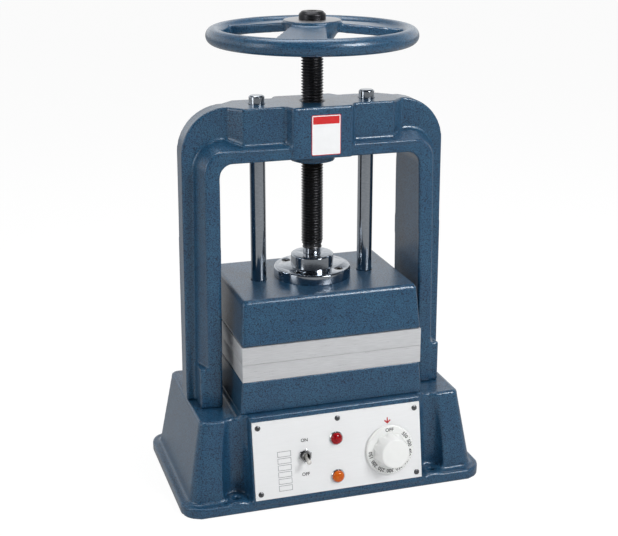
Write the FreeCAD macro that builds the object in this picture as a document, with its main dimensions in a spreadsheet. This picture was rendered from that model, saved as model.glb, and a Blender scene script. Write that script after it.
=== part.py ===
import FreeCAD, Part
import Sketcher
import math
import os

# Rubber mold vulcanizer: a screw press with two heated platens.
# X points right, Y points back, Z points up, and the press screw stands on the Z axis.
# The origin is on the bench, under the screw. All lengths are in millimetres.

doc = FreeCAD.newDocument("MoldVulcanizer")
sheet = doc.addObject("Spreadsheet::Sheet", "Sizes")
pieces = []

# Driving dimensions

SIZES = {
    # Base casting
    "foot_half_x": 196.0, "foot_half_y": 114.5, "foot_height": 13.0, "foot_corner": 27.0,
    "skirt_half_x": 186.0, "skirt_half_y": 103.0, "skirt_corner": 16.0,
    "shoulder_half_x": 168.2, "shoulder_half_y": 87.0, "shoulder_corner": 8.0,
    "base_top": 113.2, "base_wall": 8.0, "base_roof": 10.0,
    "console_half_x": 110.5, "console_top": 118.0, "console_low": 9.0,
    "pedestal_back": 88.0, "window_half_x": 93.0, "window_low": 21.0,
    "window_high": 100.0,
    "mount_x": 128.0, "mount_y": 100.0, "mount_hole": 9.0, "flute_radius": 16.5,
    "mount_pad_radius": 13.0, "mount_pad_rise": 2.5, "cover_thickness": 2.0,
    "cover_gap": 0.5,
    # Arch casting
    "arch_top": 480.0, "opening_top": 417.3, "opening_corner": 16.0,
    "inner_half_high": 125.6, "inner_half_low": 130.2, "rim_outer_high": 141.3,
    "rim_outer_low": 146.4, "rim_top": 430.0, "rim_depth_high": 40.0, "rim_depth_low": 47.0,
    "web_half_high": 165.2, "web_half_low": 168.4, "web_half_depth": 14.0, "arch_corner": 56.0,
    "bridge_half_x": 94.0, "bridge_depth": 31.0, "bridge_taper": 18.0,
    "block_half_x": 36.5, "block_depth": 44.0, "block_taper": 7.0,
    "rim_corner": 24.0, "flank_width": 12.0, "flank_corner": 34.0, "bore_lip": 4.0,
    "boss_radius": 28.0, "boss_drop": 9.5, "pad_outer": 157.0, "pad_depth": 45.5, "pad_top": 165.0,
    # Guide rods and their bushes
    "rod_x": 69.7, "rod_radius": 9.525, "rod_top": 490.3, "rod_foot": 228.0, "rod_chamfer": 1.5,
    "bush_wall": 2.5, "running_gap": 0.06, "fit_gap": 0.02,
    # Press screw, nut and thrust bearing
    "thread_radius": 13.6, "thread_root": 11.4, "thread_pitch": 3.5, "thread_crest": 0.7,
    "thread_base": 2.9, "thread_low": 295.3, "thread_high": 549.0, "thread_gap": 0.3,
    "neck_radius": 11.2, "journal_radius": 9.0, "wheel_shank": 9.5,
    "nut_radius": 22.0, "nut_top": 471.0,
    "flange_radius": 48.4, "flange_height": 12.8, "hub_radius": 26.7, "hub_height": 15.7,
    "collar_radius": 17.0, "collar_height": 9.0, "collar_gap": 0.3, "disc_height": 3.0,
    "flange_bolt_circle": 37.5, "bearing_edge": 1.5, "flange_screw_sink": 4.5,
    "cap_screw_head": 5.1, "cap_screw_height": 4.0, "cap_screw_socket": 2.9, "pin_radius": 1.6,
    # Upper platen head
    "platen_half_x": 114.5, "platen_half_y": 86.5, "platen_thick": 22.0, "platen_gap": 0.3,
    "lower_platen_low": 159.2, "head_height": 55.8, "head_half_x": 110.6, "head_half_y": 79.0,
    "head_edge": 4.0, "head_bevel": 2.4, "rim_bevel": 0.8,
    "head_wall": 14.0, "pocket_depth": 21.0, "heater_thick": 8.0,
    "heater_width": 38.0, "heater_half_x": 88.0, "heater_y": 32.0,
    "pedestal_half_x": 118.5, "pedestal_half_y": 88.0,
    # Handwheel
    "wheel_radius": 117.2, "rim_radius": 10.0, "wheel_height": 559.3, "wheel_hub_radius": 35.0,
    "wheel_hub_top": 577.0, "wheel_hub_low": 549.5, "arm_turn": -25.5, "arm_root_width": 40.0,
    "arm_tip_width": 66.0, "arm_root_top": 573.5, "arm_tip_top": 563.5, "arm_thick": 11.0,
    "cap_radius": 16.2, "cap_height": 10.0, "cap_chamfer": 3.6, "key_side": 5.0,
    # Control plate and what it carries
    "plate_half_x": 108.4, "plate_half_y": 48.9, "plate_thick": 1.6, "plate_slope": 9.53,
    "plate_top_height": 112.1, "plate_top_depth": 101.35,
    "screw_x": 101.5, "screw_v": 41.6, "screw_head": 3.4, "dome_rise": 1.7,
    "slot_half": 0.35, "slot_floor": 1.0,
    "lamp_x": -2.8, "power_lamp_v": 16.6, "heat_lamp_v": -31.7, "bezel_radius": 8.9,
    "lens_radius": 7.5, "lens_height": 6.8, "lens_seat": 0.8, "bezel_height": 2.6,
    "bezel_edge": 1.2, "lamp_waist": 14.0, "blade_length": 8.0, "blade_half": 0.4,
    "lamp_body_radius": 6.4, "lamp_body_length": 26.0,
    "switch_x": -43.6, "switch_v": 0.0, "bushing_radius": 6.0, "bushing_bore": 4.8,
    "bushing_length": 8.5, "switch_nut_radius": 8.6, "switch_nut_height": 2.6,
    "switch_half_x": 6.6, "switch_half_y": 13.5, "switch_depth": 22.0, "pole_pitch": 8.5,
    "lever_root": 1.6, "lever_tip": 3.0, "lever_length": 21.0,
    "lever_angle": 13.0, "lever_reach": 8.5,
    "knob_x": 66.0, "knob_v": -7.3, "skirt_radius": 31.5, "skirt_thick": 3.2,
    "skirt_edge": 1.6, "grip_height": 20.0, "knob_floor": 6.0,
    "grip_radius": 22.5, "knob_face_radius": 17.5, "knob_gap": 1.2, "stem_radius": 3.0,
    "thermostat_radius": 26.0, "thermostat_depth": 30.0,
    # Fasteners
    "bolt_radius": 5.0, "bolt_head": 8.5, "bolt_head_height": 6.4, "bolt_socket": 4.6,
    "bolt_depth": 25.0, "block_bolt_x": 80.0, "block_bolt_y": 50.0,
    "head_screw_radius": 3.0, "head_screw_head": 6.0, "head_screw_length": 38.0,
    "thread_land": 3.0, "thread_sink": 0.5, "stud_radius": 4.0, "stud_length": 15.0,
    "key_depth": 7.0, "key_length": 22.0, "key_top_gap": 3.0,
    # Wiring entries and the bottom cover
    "wire_hole_y": 64.0, "wire_hole_radius": 7.0, "gland_x": 120.0, "gland_height": 45.0,
    "gland_radius": 8.0, "cover_half_x": 184.0, "cover_half_y": 86.0, "head_gland_x": -31.0,
    "head_gland_height": 247.0, "head_gland_radius": 5.5, "cover_inset": 0.5,
    "flange_screw_depth": 18.0, "block_bolt_depth": 16.0, "hub_foot_radius": 22.0,
    "cap_socket": 5.0, "cap_socket_depth": 5.0, "small_radius": 1.9, "small_length": 7.0, "nut_depth": 4.0,
    "washer_thick": 1.0, "bracket_thick": 2.0, "bracket_half_x": 27.0, "bracket_half_y": 16.0,
    "stem_reach": 20.0, "groove_place": 26.5, "groove_radius": 6.0,
    "cover_screw_x": 180.0, "cover_screw_y": 55.0, "cover_screw_radius": 2.0,
    "cover_screw_length": 12.0,
    "terminal_half_x": 30.0, "terminal_half_y": 10.0, "terminal_x": 60.0,
    "terminal_height": 18.0, "terminal_pitch": 10.0, "terminal_bore": 3.2,
}


class Dim:
    """A size that holds both its number and its formula over the sheet's cells."""

    def __init__(self, value, text=None):
        self.value = float(value)
        self.text = text if text is not None else repr(float(value))

    def __add__(self, other):
        other = dim(other)
        return Dim(self.value + other.value, f"({self.text} + {other.text})")

    def __sub__(self, other):
        other = dim(other)
        return Dim(self.value - other.value, f"({self.text} - {other.text})")

    def __mul__(self, other):
        other = dim(other)
        return Dim(self.value * other.value, f"({self.text} * {other.text})")

    def __truediv__(self, other):
        other = dim(other)
        return Dim(self.value / other.value, f"({self.text} / {other.text})")

    def __neg__(self):
        return Dim(-self.value, f"(-1 * {self.text})")

    __radd__ = __add__
    __rmul__ = __mul__

    def __rsub__(self, other):
        return dim(other) - self


def dim(value):
    return value if isinstance(value, Dim) else Dim(value)


def tan_of(angle):
    return Dim(math.tan(math.radians(angle.value)), f"tan({angle.text})")


def cos_of(angle):
    return Dim(math.cos(math.radians(angle.value)), f"cos({angle.text})")


def sin_of(angle):
    return Dim(math.sin(math.radians(angle.value)), f"sin({angle.text})")


class Cells:
    """The sheet's sizes as attributes, each a Dim."""


s = Cells()
for row, (alias, number) in enumerate(SIZES.items(), start=1):
    sheet.set(f"A{row}", alias)
    sheet.set(f"B{row}", str(number))
    sheet.setAlias(f"B{row}", alias)
    setattr(s, alias, Dim(number, f"Sizes.{alias}"))
doc.recompute()


# Drawing helpers

def bind(thing, prop, size):
    """Set a property to a size and keep it tied to the sheet."""
    thing.setExpression(prop, dim(size).text)


def keep(thing, name):
    """Name a finished piece, which is written to its own file."""
    thing.Label = name
    pieces.append(thing)
    return thing


def new_body(name):
    return keep(doc.addObject("PartDesign::Body", "Body_" + name), name)


def origin_plane(body, role):
    return next(f for f in body.Origin.OriginFeatures if f.Role == role)


def new_sketch(body, role, offset=0):
    """A sketch on one of the body's own origin planes, moved along that plane's normal."""
    sketch = body.newObject("Sketcher::SketchObject", "Sketch")
    sketch.AttachmentSupport = [(origin_plane(body, role), "")]
    sketch.MapMode = "FlatFace"
    bind(sketch, "AttachmentOffset.Base.z", offset)
    return sketch


def fix_point(sketch, geo, pos, x, y):
    """Tie one point of a sketch to its coordinates."""
    for kind, value, axis in (("DistanceX", dim(x), -2), ("DistanceY", dim(y), -1)):
        if abs(value.value) < 1e-9 and "Sizes" not in value.text:
            sketch.addConstraint(Sketcher.Constraint("PointOnObject", geo, pos, axis))
            continue
        number = sketch.addConstraint(Sketcher.Constraint(kind, geo, pos, value.value))
        sketch.setExpression(f"Constraints[{number}]", value.text)


def draw_polygon(sketch, points):
    """A closed outline of straight lines through the given points."""
    corners = [FreeCAD.Vector(dim(x).value, dim(y).value, 0) for x, y in points]
    count = len(corners)
    first = sketch.GeometryCount
    for i in range(count):
        sketch.addGeometry(Part.LineSegment(corners[i], corners[(i + 1) % count]), False)
    for i in range(count):
        after = first + (i + 1) % count
        sketch.addConstraint(Sketcher.Constraint("Coincident", first + i, 2, after, 1))
    for i, (x, y) in enumerate(points):
        fix_point(sketch, first + i, 1, x, y)


def draw_circle(sketch, x, y, radius):
    centre = FreeCAD.Vector(dim(x).value, dim(y).value, 0)
    geo = sketch.addGeometry(Part.Circle(centre, FreeCAD.Vector(0, 0, 1), dim(radius).value), False)
    fix_point(sketch, geo, 3, x, y)
    number = sketch.addConstraint(Sketcher.Constraint("Radius", geo, dim(radius).value))
    sketch.setExpression(f"Constraints[{number}]", dim(radius).text)


def rectangle(half_x, half_y, x=0, y=0):
    x, y = dim(x), dim(y)
    return [(x - half_x, y - half_y), (x + half_x, y - half_y),
            (x + half_x, y + half_y), (x - half_x, y + half_y)]


def rounded(sketch, half_x, half_y, radius):
    """A rounded rectangle about the sketch's origin, as four lines and four arcs."""
    hx, hy, r = dim(half_x), dim(half_y), dim(radius)
    quarter = math.pi / 2
    signs = [(1, 1), (-1, 1), (-1, -1), (1, -1)]
    first = sketch.GeometryCount
    for i, (sx, sy) in enumerate(signs):
        centre = FreeCAD.Vector(sx * (hx - r).value, sy * (hy - r).value, 0)
        circle = Part.Circle(centre, FreeCAD.Vector(0, 0, 1), r.value)
        sketch.addGeometry(Part.ArcOfCircle(circle, i * quarter, (i + 1) * quarter), False)
        fix_point(sketch, first + i, 3, sx * (hx - r), sy * (hy - r))
    for i in range(4):
        start = sketch.getPoint(first + i, 2)
        end = sketch.getPoint(first + (i + 1) % 4, 1)
        line = sketch.addGeometry(Part.LineSegment(start, end), False)
        sketch.addConstraint(Sketcher.Constraint("Tangent", first + i, 2, line, 1))
        sketch.addConstraint(Sketcher.Constraint("Tangent", line, 2, first + (i + 1) % 4, 1))
    number = sketch.addConstraint(Sketcher.Constraint("Radius", first, r.value))
    sketch.setExpression(f"Constraints[{number}]", r.text)


def across(shape):
    """Both halves of an outline that is given for positive x only."""
    return shape + [(-x, y) for x, y in reversed(shape)]


SIDES = {"XY_Plane": 1, "XZ_Plane": -1, "YZ_Plane": 1}


def draw(sketch, outline):
    """Draw a list of points as a polygon, or call a drawing function."""
    if callable(outline):
        outline(sketch)
    else:
        draw_polygon(sketch, outline)


def pad(body, role, outline, low, high):
    """Add material over low to high along the axis that the plane is square to."""
    side = SIDES[role]
    sketch = new_sketch(body, role, dim(low) if side > 0 else -dim(high))
    draw(sketch, outline)
    feature = body.newObject("PartDesign::Pad", "Pad")
    feature.Profile = sketch
    bind(feature, "Length", dim(high) - low)
    return feature


def pocket(body, role, outline, low, high):
    """Take material away over low to high along the axis that the plane is square to."""
    side = SIDES[role]
    sketch = new_sketch(body, role, dim(high) if side > 0 else -dim(low))
    draw(sketch, outline)
    feature = body.newObject("PartDesign::Pocket", "Pocket")
    feature.Profile = sketch
    bind(feature, "Length", dim(high) - low)
    return feature


def hole(body, x, y, radius, low, high, role="XY_Plane"):
    return pocket(body, role, lambda sketch: draw_circle(sketch, x, y, radius), low, high)


def disc(body, x, y, radius, low, high, role="XY_Plane"):
    return pad(body, role, lambda sketch: draw_circle(sketch, x, y, radius), low, high)


def turn(body, points, kind="PartDesign::Revolution"):
    """Turn an outline of (radius, height) points about the Z axis."""
    sketch = new_sketch(body, "XZ_Plane")
    draw(sketch, points)
    feature = body.newObject(kind, "Turned")
    feature.Profile = sketch
    feature.ReferenceAxis = (sketch, ["V_Axis"])
    feature.Angle = 360
    return feature


def turned(name, points):
    body = new_body(name)
    turn(body, points)
    return body


def loft(body, low_outline, low, high_outline, high):
    """Join two outlines at two heights by straight sides."""
    lower = new_sketch(body, "XY_Plane", low)
    draw(lower, low_outline)
    upper = new_sketch(body, "XY_Plane", high)
    draw(upper, high_outline)
    feature = body.newObject("PartDesign::AdditiveLoft", "Loft")
    feature.Profile = lower
    feature.Sections = [upper]
    feature.Ruled = True
    return feature


def round_edges(body, radius, wanted, kind="PartDesign::Fillet"):
    """Round (or bevel) the edges of the body so far that the test picks."""
    doc.recompute()
    base = body.Tip
    names = [f"Edge{i + 1}" for i, edge in enumerate(base.Shape.Edges) if wanted(edge)]
    feature = body.newObject(kind, "Rounded")
    feature.Base = (base, names)
    bind(feature, "Radius" if kind == "PartDesign::Fillet" else "Size", radius)
    return feature


def middle(edge):
    return edge.valueAt((edge.FirstParameter + edge.LastParameter) / 2)


def near(value, size, margin=0.05):
    return abs(value - dim(size).value) < margin


def place(thing, x=0, y=0, z=0):
    for axis, size in (("x", x), ("y", y), ("z", z)):
        bind(thing, f"Placement.Base.{axis}", size)
    return thing


def cylinder(radius, low, high, x=0, y=0):
    thing = doc.addObject("Part::Cylinder", "Cylinder")
    bind(thing, "Radius", radius)
    bind(thing, "Height", dim(high) - low)
    return place(thing, x, y, low)


def box(x_low, x_high, y_low, y_high, z_low, z_high):
    thing = doc.addObject("Part::Box", "Box")
    bind(thing, "Length", dim(x_high) - x_low)
    bind(thing, "Width", dim(y_high) - y_low)
    bind(thing, "Height", dim(z_high) - z_low)
    return place(thing, x_low, y_low, z_low)


def fuse(*shapes):
    thing = doc.addObject("Part::MultiFuse", "Fuse")
    thing.Shapes = list(shapes)
    return thing


def cut(base, *tools):
    thing = doc.addObject("Part::Cut", "Cut")
    thing.Base = base
    thing.Tool = tools[0] if len(tools) == 1 else fuse(*tools)
    return thing


def group(name, shapes):
    """Several loose solids of one kind that share a node."""
    thing = doc.addObject("Part::Compound", "Group")
    thing.Links = list(shapes)
    return keep(thing, name)


def bolt(x, y, seat, tip, radius, head_radius, head_height, socket):
    """A bolt along Z: its head lies beyond the seat, away from the tip."""
    up = 1 if dim(seat).value > dim(tip).value else -1
    head_end = dim(seat) + up * dim(head_height)
    shank = cylinder(radius, tip, seat, x, y) if up > 0 else cylinder(radius, seat, tip, x, y)
    low, high = (seat, head_end) if up > 0 else (head_end, seat)
    head = cylinder(head_radius, low, high, x, y)
    depth = dim(head_height) * 0.55
    tool = doc.addObject("Part::Prism", "Socket")
    tool.Polygon = 6
    bind(tool, "Circumradius", socket)
    bind(tool, "Height", depth + 1)
    place(tool, x, y, head_end - depth if up > 0 else head_end - 1)
    return cut(fuse(shank, head), tool)


# The control plate's own frame: x to the right, v up the slope, w out of the plate.
# w is zero on the back of the plate, where it lies on the console.

slope = s.plate_slope
plate_mid_height = s.plate_top_height - s.plate_half_y * cos_of(slope)
plate_mid_depth = s.plate_top_depth + s.plate_half_y * sin_of(slope)
panel_y = -(plate_mid_depth - s.plate_thick * cos_of(slope))
panel_z = plate_mid_height - s.plate_thick * sin_of(slope)


def on_panel(thing):
    """Place a piece that is drawn in the plate's frame on the sloping console."""
    thing.Placement.Rotation = FreeCAD.Rotation(FreeCAD.Vector(1, 0, 0), 0)
    place(thing, 0, panel_y, panel_z)
    bind(thing, "Placement.Rotation.Axis.x", 1)
    bind(thing, "Placement.Rotation.Axis.y", 0)
    bind(thing, "Placement.Rotation.Axis.z", 0)
    bind(thing, "Placement.Rotation.Angle", 90 - slope)
    return thing


def turn_about_z(thing, angle):
    for axis, value in (("x", 0), ("y", 0), ("z", 1)):
        bind(thing, f"Placement.Rotation.Axis.{axis}", value)
    bind(thing, "Placement.Rotation.Angle", angle)
    return thing


def move_on_panel(thing, x, v, tilt=0):
    """Place a piece drawn round its own axis at (x, v) on the plate, tipped down by tilt."""
    on_panel(thing)
    bind(thing, "Placement.Base.x", x)
    bind(thing, "Placement.Base.y", panel_y + sin_of(slope) * v)
    bind(thing, "Placement.Base.z", panel_z + cos_of(slope) * v)
    bind(thing, "Placement.Rotation.Angle", 90 - slope + tilt)
    return thing


def panel_hole(body, x, v, radius, depth):
    """Drill square to the console's sloping face, at (x, v) on the plate."""
    sketch = new_sketch(body, "XZ_Plane", -panel_y)
    bind(sketch, "AttachmentOffset.Base.y", panel_z)
    for axis, value in (("x", 1), ("y", 0), ("z", 0)):
        bind(sketch, f"AttachmentOffset.Rotation.Axis.{axis}", value)
    bind(sketch, "AttachmentOffset.Rotation.Angle", -slope)
    draw_circle(sketch, x, v, radius)
    feature = body.newObject("PartDesign::Pocket", "Drilled")
    feature.Profile = sketch
    bind(feature, "Length", depth)


def console_front(height):
    """How far in front of the screw axis the console's sloping face lies at a height."""
    return -panel_y + (panel_z - height) * tan_of(slope)


# Heights that several pieces share

lower_platen_top = s.lower_platen_low + s.platen_thick
upper_platen_low = lower_platen_top + s.platen_gap
head_low = upper_platen_low + s.platen_thick
head_top = head_low + s.head_height
disc_top = head_top + s.disc_height
collar_top = disc_top + s.collar_height
flange_top = head_top + s.flange_height
hub_top = flange_top + s.hub_height
boss_low = s.opening_top - s.boss_drop
bush_top = s.arch_top - s.bore_lip
wheel_turn = s.arm_turn - 90
key_low = s.wheel_hub_top - s.key_length - s.key_top_gap
foot_bolt_x = (s.inner_half_low + s.pad_outer) / 2
foot_bolt_y = (s.web_half_depth + s.pad_depth) / 2
head_screw_x = s.platen_half_x - s.head_wall / 2
head_screw_y = s.platen_half_y - s.head_wall / 2
roof_low = s.base_top - s.base_roof
corners = [(sx, sy) for sx in (-1, 1) for sy in (-1, 1)]


# Base

def notched(sketch, half_x):
    """The hollow's plan: a rectangle that steps in behind each mounting flute."""
    reach = s.flute_radius + s.base_wall
    inner, waist, half_y = s.mount_x - reach, s.mount_y - reach, s.shoulder_half_y - s.base_wall
    quarter = [(dim(half_x), waist), (inner, waist), (inner, half_y)]
    points = across(quarter)
    draw_polygon(sketch, points + [(x, -y) for x, y in reversed(points)])


def base_casting():
    """A hollow casting: a beaded foot, sloping walls, a roof and a console for the plate."""
    body = new_body("base_casting")
    pad(body, "XY_Plane", lambda k: rounded(k, s.foot_half_x, s.foot_half_y, s.foot_corner),
        0, s.foot_height)
    loft(body, lambda k: rounded(k, s.skirt_half_x, s.skirt_half_y, s.skirt_corner),
         s.foot_height - 0.5,
         lambda k: rounded(k, s.shoulder_half_x, s.shoulder_half_y, s.shoulder_corner), s.base_top)
    for sx, sy in corners:
        hole(body, sx * s.mount_x, sy * s.mount_y, s.flute_radius, s.foot_height, s.base_top + 1)
    front_low, front_high = console_front(s.console_low), console_front(s.console_top)
    face = [(-front_low, s.console_low), (-front_high, s.console_top),
            (s.pedestal_back, s.console_top), (s.pedestal_back, s.base_top - 1),
            (-s.shoulder_half_y + 2, s.base_top - 1), (-s.shoulder_half_y + 2, s.console_low)]
    pad(body, "YZ_Plane", face, -s.console_half_x, s.console_half_x)
    pad(body, "XY_Plane", rectangle(s.pedestal_half_x, s.pedestal_half_y), s.base_top - 1,
        s.console_top)
    for sx, sy in corners:
        disc(body, sx * s.mount_x, sy * s.mount_y, s.mount_pad_radius,
             s.foot_height - 1, s.foot_height + s.mount_pad_rise)
    hollow_low = new_sketch(body, "XY_Plane", s.cover_thickness)
    notched(hollow_low, s.skirt_half_x - s.base_wall)
    hollow_high = new_sketch(body, "XY_Plane", roof_low)
    notched(hollow_high, s.shoulder_half_x - s.base_wall)
    hollow = body.newObject("PartDesign::SubtractiveLoft", "Hollow")
    hollow.Profile = hollow_low
    hollow.Sections = [hollow_high]
    hollow.Ruled = True
    window = rectangle(s.window_half_x, (s.window_high - s.window_low) / 2, 0,
                       (s.window_high + s.window_low) / 2)
    pocket(body, "XZ_Plane", window, -s.foot_half_y - 10, -s.shoulder_half_y + s.base_wall + 2)
    for x, v in plate_screw_spots():
        panel_hole(body, x, v, s.small_radius + s.fit_gap, s.small_length + 1)
    for sx, sy in corners:
        hole(body, sx * s.mount_x, sy * s.mount_y, s.mount_hole / 2, -1, s.foot_height + 5)
        hole(body, sx * foot_bolt_x, sy * foot_bolt_y, s.bolt_radius + 0.5, roof_low - 1,
             s.base_top + 1)
        hole(body, sx * s.block_bolt_x, sy * s.block_bolt_y, s.bolt_radius + 0.5, roof_low - 1,
             s.console_top + 1)
    hole(body, 0, s.wire_hole_y, s.wire_hole_radius, roof_low - 1, s.console_top + 1)
    hole(body, s.gland_x, s.gland_height, s.gland_radius, s.shoulder_half_y - s.base_wall - 6,
         s.foot_half_y + 1, "XZ_Plane")
    pocket(body, "XY_Plane", rectangle(s.cover_half_x, s.cover_half_y), -1, s.cover_thickness)
    for sx, sy in corners:
        hole(body, sx * s.cover_screw_x, sy * s.cover_screw_y, s.cover_screw_radius + s.fit_gap,
             -1, s.cover_screw_length + 1)
    return body


# Arch

def arched(sketch, half_low, half_high, top, radius):
    """The outline of an arch with rounded upper corners, from the base up."""
    r, high = dim(radius), dim(top)
    feet, centres = [], []
    for side in (1, -1):
        x, low = side * dim(half_low), s.base_top
        cx, cy = side * (dim(half_high) - r), high - r
        feet.append(FreeCAD.Vector(x.value, low.value, 0))
        centres.append(FreeCAD.Vector(cx.value, cy.value, 0))
        circle = Part.Circle(centres[-1], FreeCAD.Vector(0, 0, 1), r.value)
        start, end = (0, math.pi / 2) if side > 0 else (math.pi / 2, math.pi)
        arc = sketch.addGeometry(Part.ArcOfCircle(circle, start, end), False)
        fix_point(sketch, arc, 3, cx, cy)
    right, left = 0, 1
    leg = sketch.addGeometry(Part.LineSegment(feet[0], sketch.getPoint(right, 1)), False)
    sketch.addConstraint(Sketcher.Constraint("Tangent", leg, 2, right, 1))
    fix_point(sketch, leg, 1, half_low, s.base_top)
    lintel = sketch.addGeometry(
        Part.LineSegment(sketch.getPoint(right, 2), sketch.getPoint(left, 1)), False)
    sketch.addConstraint(Sketcher.Constraint("Tangent", lintel, 1, right, 2))
    sketch.addConstraint(Sketcher.Constraint("Tangent", lintel, 2, left, 1))
    other = sketch.addGeometry(Part.LineSegment(sketch.getPoint(left, 2), feet[1]), False)
    sketch.addConstraint(Sketcher.Constraint("Tangent", left, 2, other, 1))
    fix_point(sketch, other, 2, -dim(half_low), s.base_top)
    sill = sketch.addGeometry(Part.LineSegment(feet[1], feet[0]), False)
    sketch.addConstraint(Sketcher.Constraint("Coincident", other, 2, sill, 1))
    sketch.addConstraint(Sketcher.Constraint("Coincident", sill, 2, leg, 1))
    number = sketch.addConstraint(Sketcher.Constraint("Radius", right, r.value))
    sketch.setExpression(f"Constraints[{number}]", r.text)


def rim_half(body, side):
    """Half of the rim (front -1, back 1): its outer flank slopes down to the web."""
    outer = new_sketch(body, "XZ_Plane", -side * s.rim_depth_low)
    arched(outer, s.rim_outer_low, s.rim_outer_high, s.rim_top, s.rim_corner)
    inner = new_sketch(body, "XZ_Plane", -side * s.web_half_depth)
    arched(inner, s.rim_outer_low + s.flank_width, s.rim_outer_high + s.flank_width,
           s.rim_top + s.flank_width, s.flank_corner)
    feature = body.newObject("PartDesign::AdditiveLoft", "Rim")
    feature.Profile = outer
    feature.Sections = [inner]
    feature.Ruled = True
    return feature


def arch_frame():
    """One casting: a deep rim round the opening, a web outside it and a thick bridge on top."""
    body = new_body("arch_frame")
    web = across([(s.web_half_low, s.base_top), (s.web_half_high, s.arch_top)])
    pad(body, "XZ_Plane", web, -s.web_half_depth, s.web_half_depth)
    for side in (-1, 1):
        rim_half(body, side)
        sliver = [(side * s.rim_depth_low, s.base_top), (side * (s.rim_depth_low + 1), s.base_top),
                  (side * (s.rim_depth_low + 1), s.rim_top + 1),
                  (side * s.rim_depth_high, s.rim_top + 1)]
        pocket(body, "YZ_Plane", sliver, -s.foot_half_x, s.foot_half_x)
    bulge = [(s.bridge_half_x + s.bridge_taper, s.web_half_depth - 1),
             (s.bridge_half_x, s.bridge_depth), (s.block_half_x + s.block_taper, s.bridge_depth),
             (s.block_half_x, s.block_depth)]
    bulge = across(bulge)
    bulge += [(x, -y) for x, y in reversed(bulge)]
    pad(body, "XY_Plane", bulge, s.opening_top, s.arch_top)
    for sx, sy in corners:
        spot = rectangle((s.pad_outer - s.inner_half_low - 2) / 2, (s.pad_depth - 5) / 2,
                         sx * (s.pad_outer + s.inner_half_low + 2) / 2, sy * (s.pad_depth + 5) / 2)
        pad(body, "XY_Plane", spot, s.base_top, s.pad_top)
    opening = across([(s.inner_half_low, s.base_top - 1), (s.inner_half_high, s.opening_top)])
    pocket(body, "XZ_Plane", opening, -s.foot_half_y, s.foot_half_y)
    disc(body, 0, 0, s.boss_radius, boss_low, s.opening_top + 1)
    round_edges(body, s.arch_corner, lambda e: near(middle(e).z, s.arch_top) and
                near(abs(middle(e).x), s.web_half_high) and near(middle(e).y, 0))
    round_edges(body, s.opening_corner, lambda e: near(middle(e).z, s.opening_top) and
                near(abs(middle(e).x), s.inner_half_high) and near(middle(e).y, 0, 1))
    hole(body, 0, 0, s.nut_radius + s.fit_gap, boss_low - 1, s.nut_top)
    hole(body, 0, 0, s.thread_radius + 1, s.nut_top - 1, s.arch_top + 1)
    for sx in (-1, 1):
        hole(body, sx * s.rod_x, 0, s.rod_radius + s.bush_wall + s.fit_gap, s.opening_top - 1,
             bush_top)
        hole(body, sx * s.rod_x, 0, s.rod_radius + s.thread_gap, bush_top - 1, s.arch_top + 1)
    for sx, sy in corners:
        hole(body, sx * foot_bolt_x, sy * foot_bolt_y, s.bolt_radius + s.fit_gap, s.base_top - 1,
             s.base_top + s.bolt_depth)
    return body


def frame_pieces():
    """The bolts, bushes and nut that the arch holds."""
    group("frame_bolts", [bolt(sx * foot_bolt_x, sy * foot_bolt_y, roof_low,
                               s.base_top + s.bolt_depth - 2, s.bolt_radius, s.bolt_head,
                               s.bolt_head_height, s.bolt_socket) for sx, sy in corners])
    for side, sx in (("left", -1), ("right", 1)):
        inner = s.rod_radius + s.running_gap
        outer = s.rod_radius + s.bush_wall
        bush = turned(f"rod_bush_{side}", [(inner, s.opening_top), (outer, s.opening_top),
                                           (outer, bush_top), (inner, bush_top)])
        place(bush, sx * s.rod_x)
        rod = turned(f"guide_rod_{side}",
                     [(0, s.rod_foot), (s.rod_radius, s.rod_foot),
                      (s.rod_radius, s.rod_top - s.rod_chamfer),
                      (s.rod_radius - s.rod_chamfer, s.rod_top), (0, s.rod_top)])
        place(rod, sx * s.rod_x)


# Thread

THREAD_TURNS = 7
THREAD_START = 2.5


def ridges(root, crest, base_width, crest_width, low, count):
    """A right-hand helical ridge as equal lengths of a few turns, which join end to end."""
    span = THREAD_TURNS * s.thread_pitch.value
    helix = Part.makeHelix(s.thread_pitch.value, span, root)
    helix.translate(FreeCAD.Vector(0, 0, low))
    corner = [(root, -base_width / 2), (crest, -crest_width / 2),
              (crest, crest_width / 2), (root, base_width / 2)]
    points = [FreeCAD.Vector(x, 0, low + z) for x, z in corner]
    profile = Part.makePolygon(points + points[:1])
    length = Part.Wire(helix.Edges).makePipeShell([profile], True, True)
    copies = []
    for i in range(count):
        copy = length.copy()
        copy.translate(FreeCAD.Vector(0, 0, i * span))
        copies.append(copy)
    return copies


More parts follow.
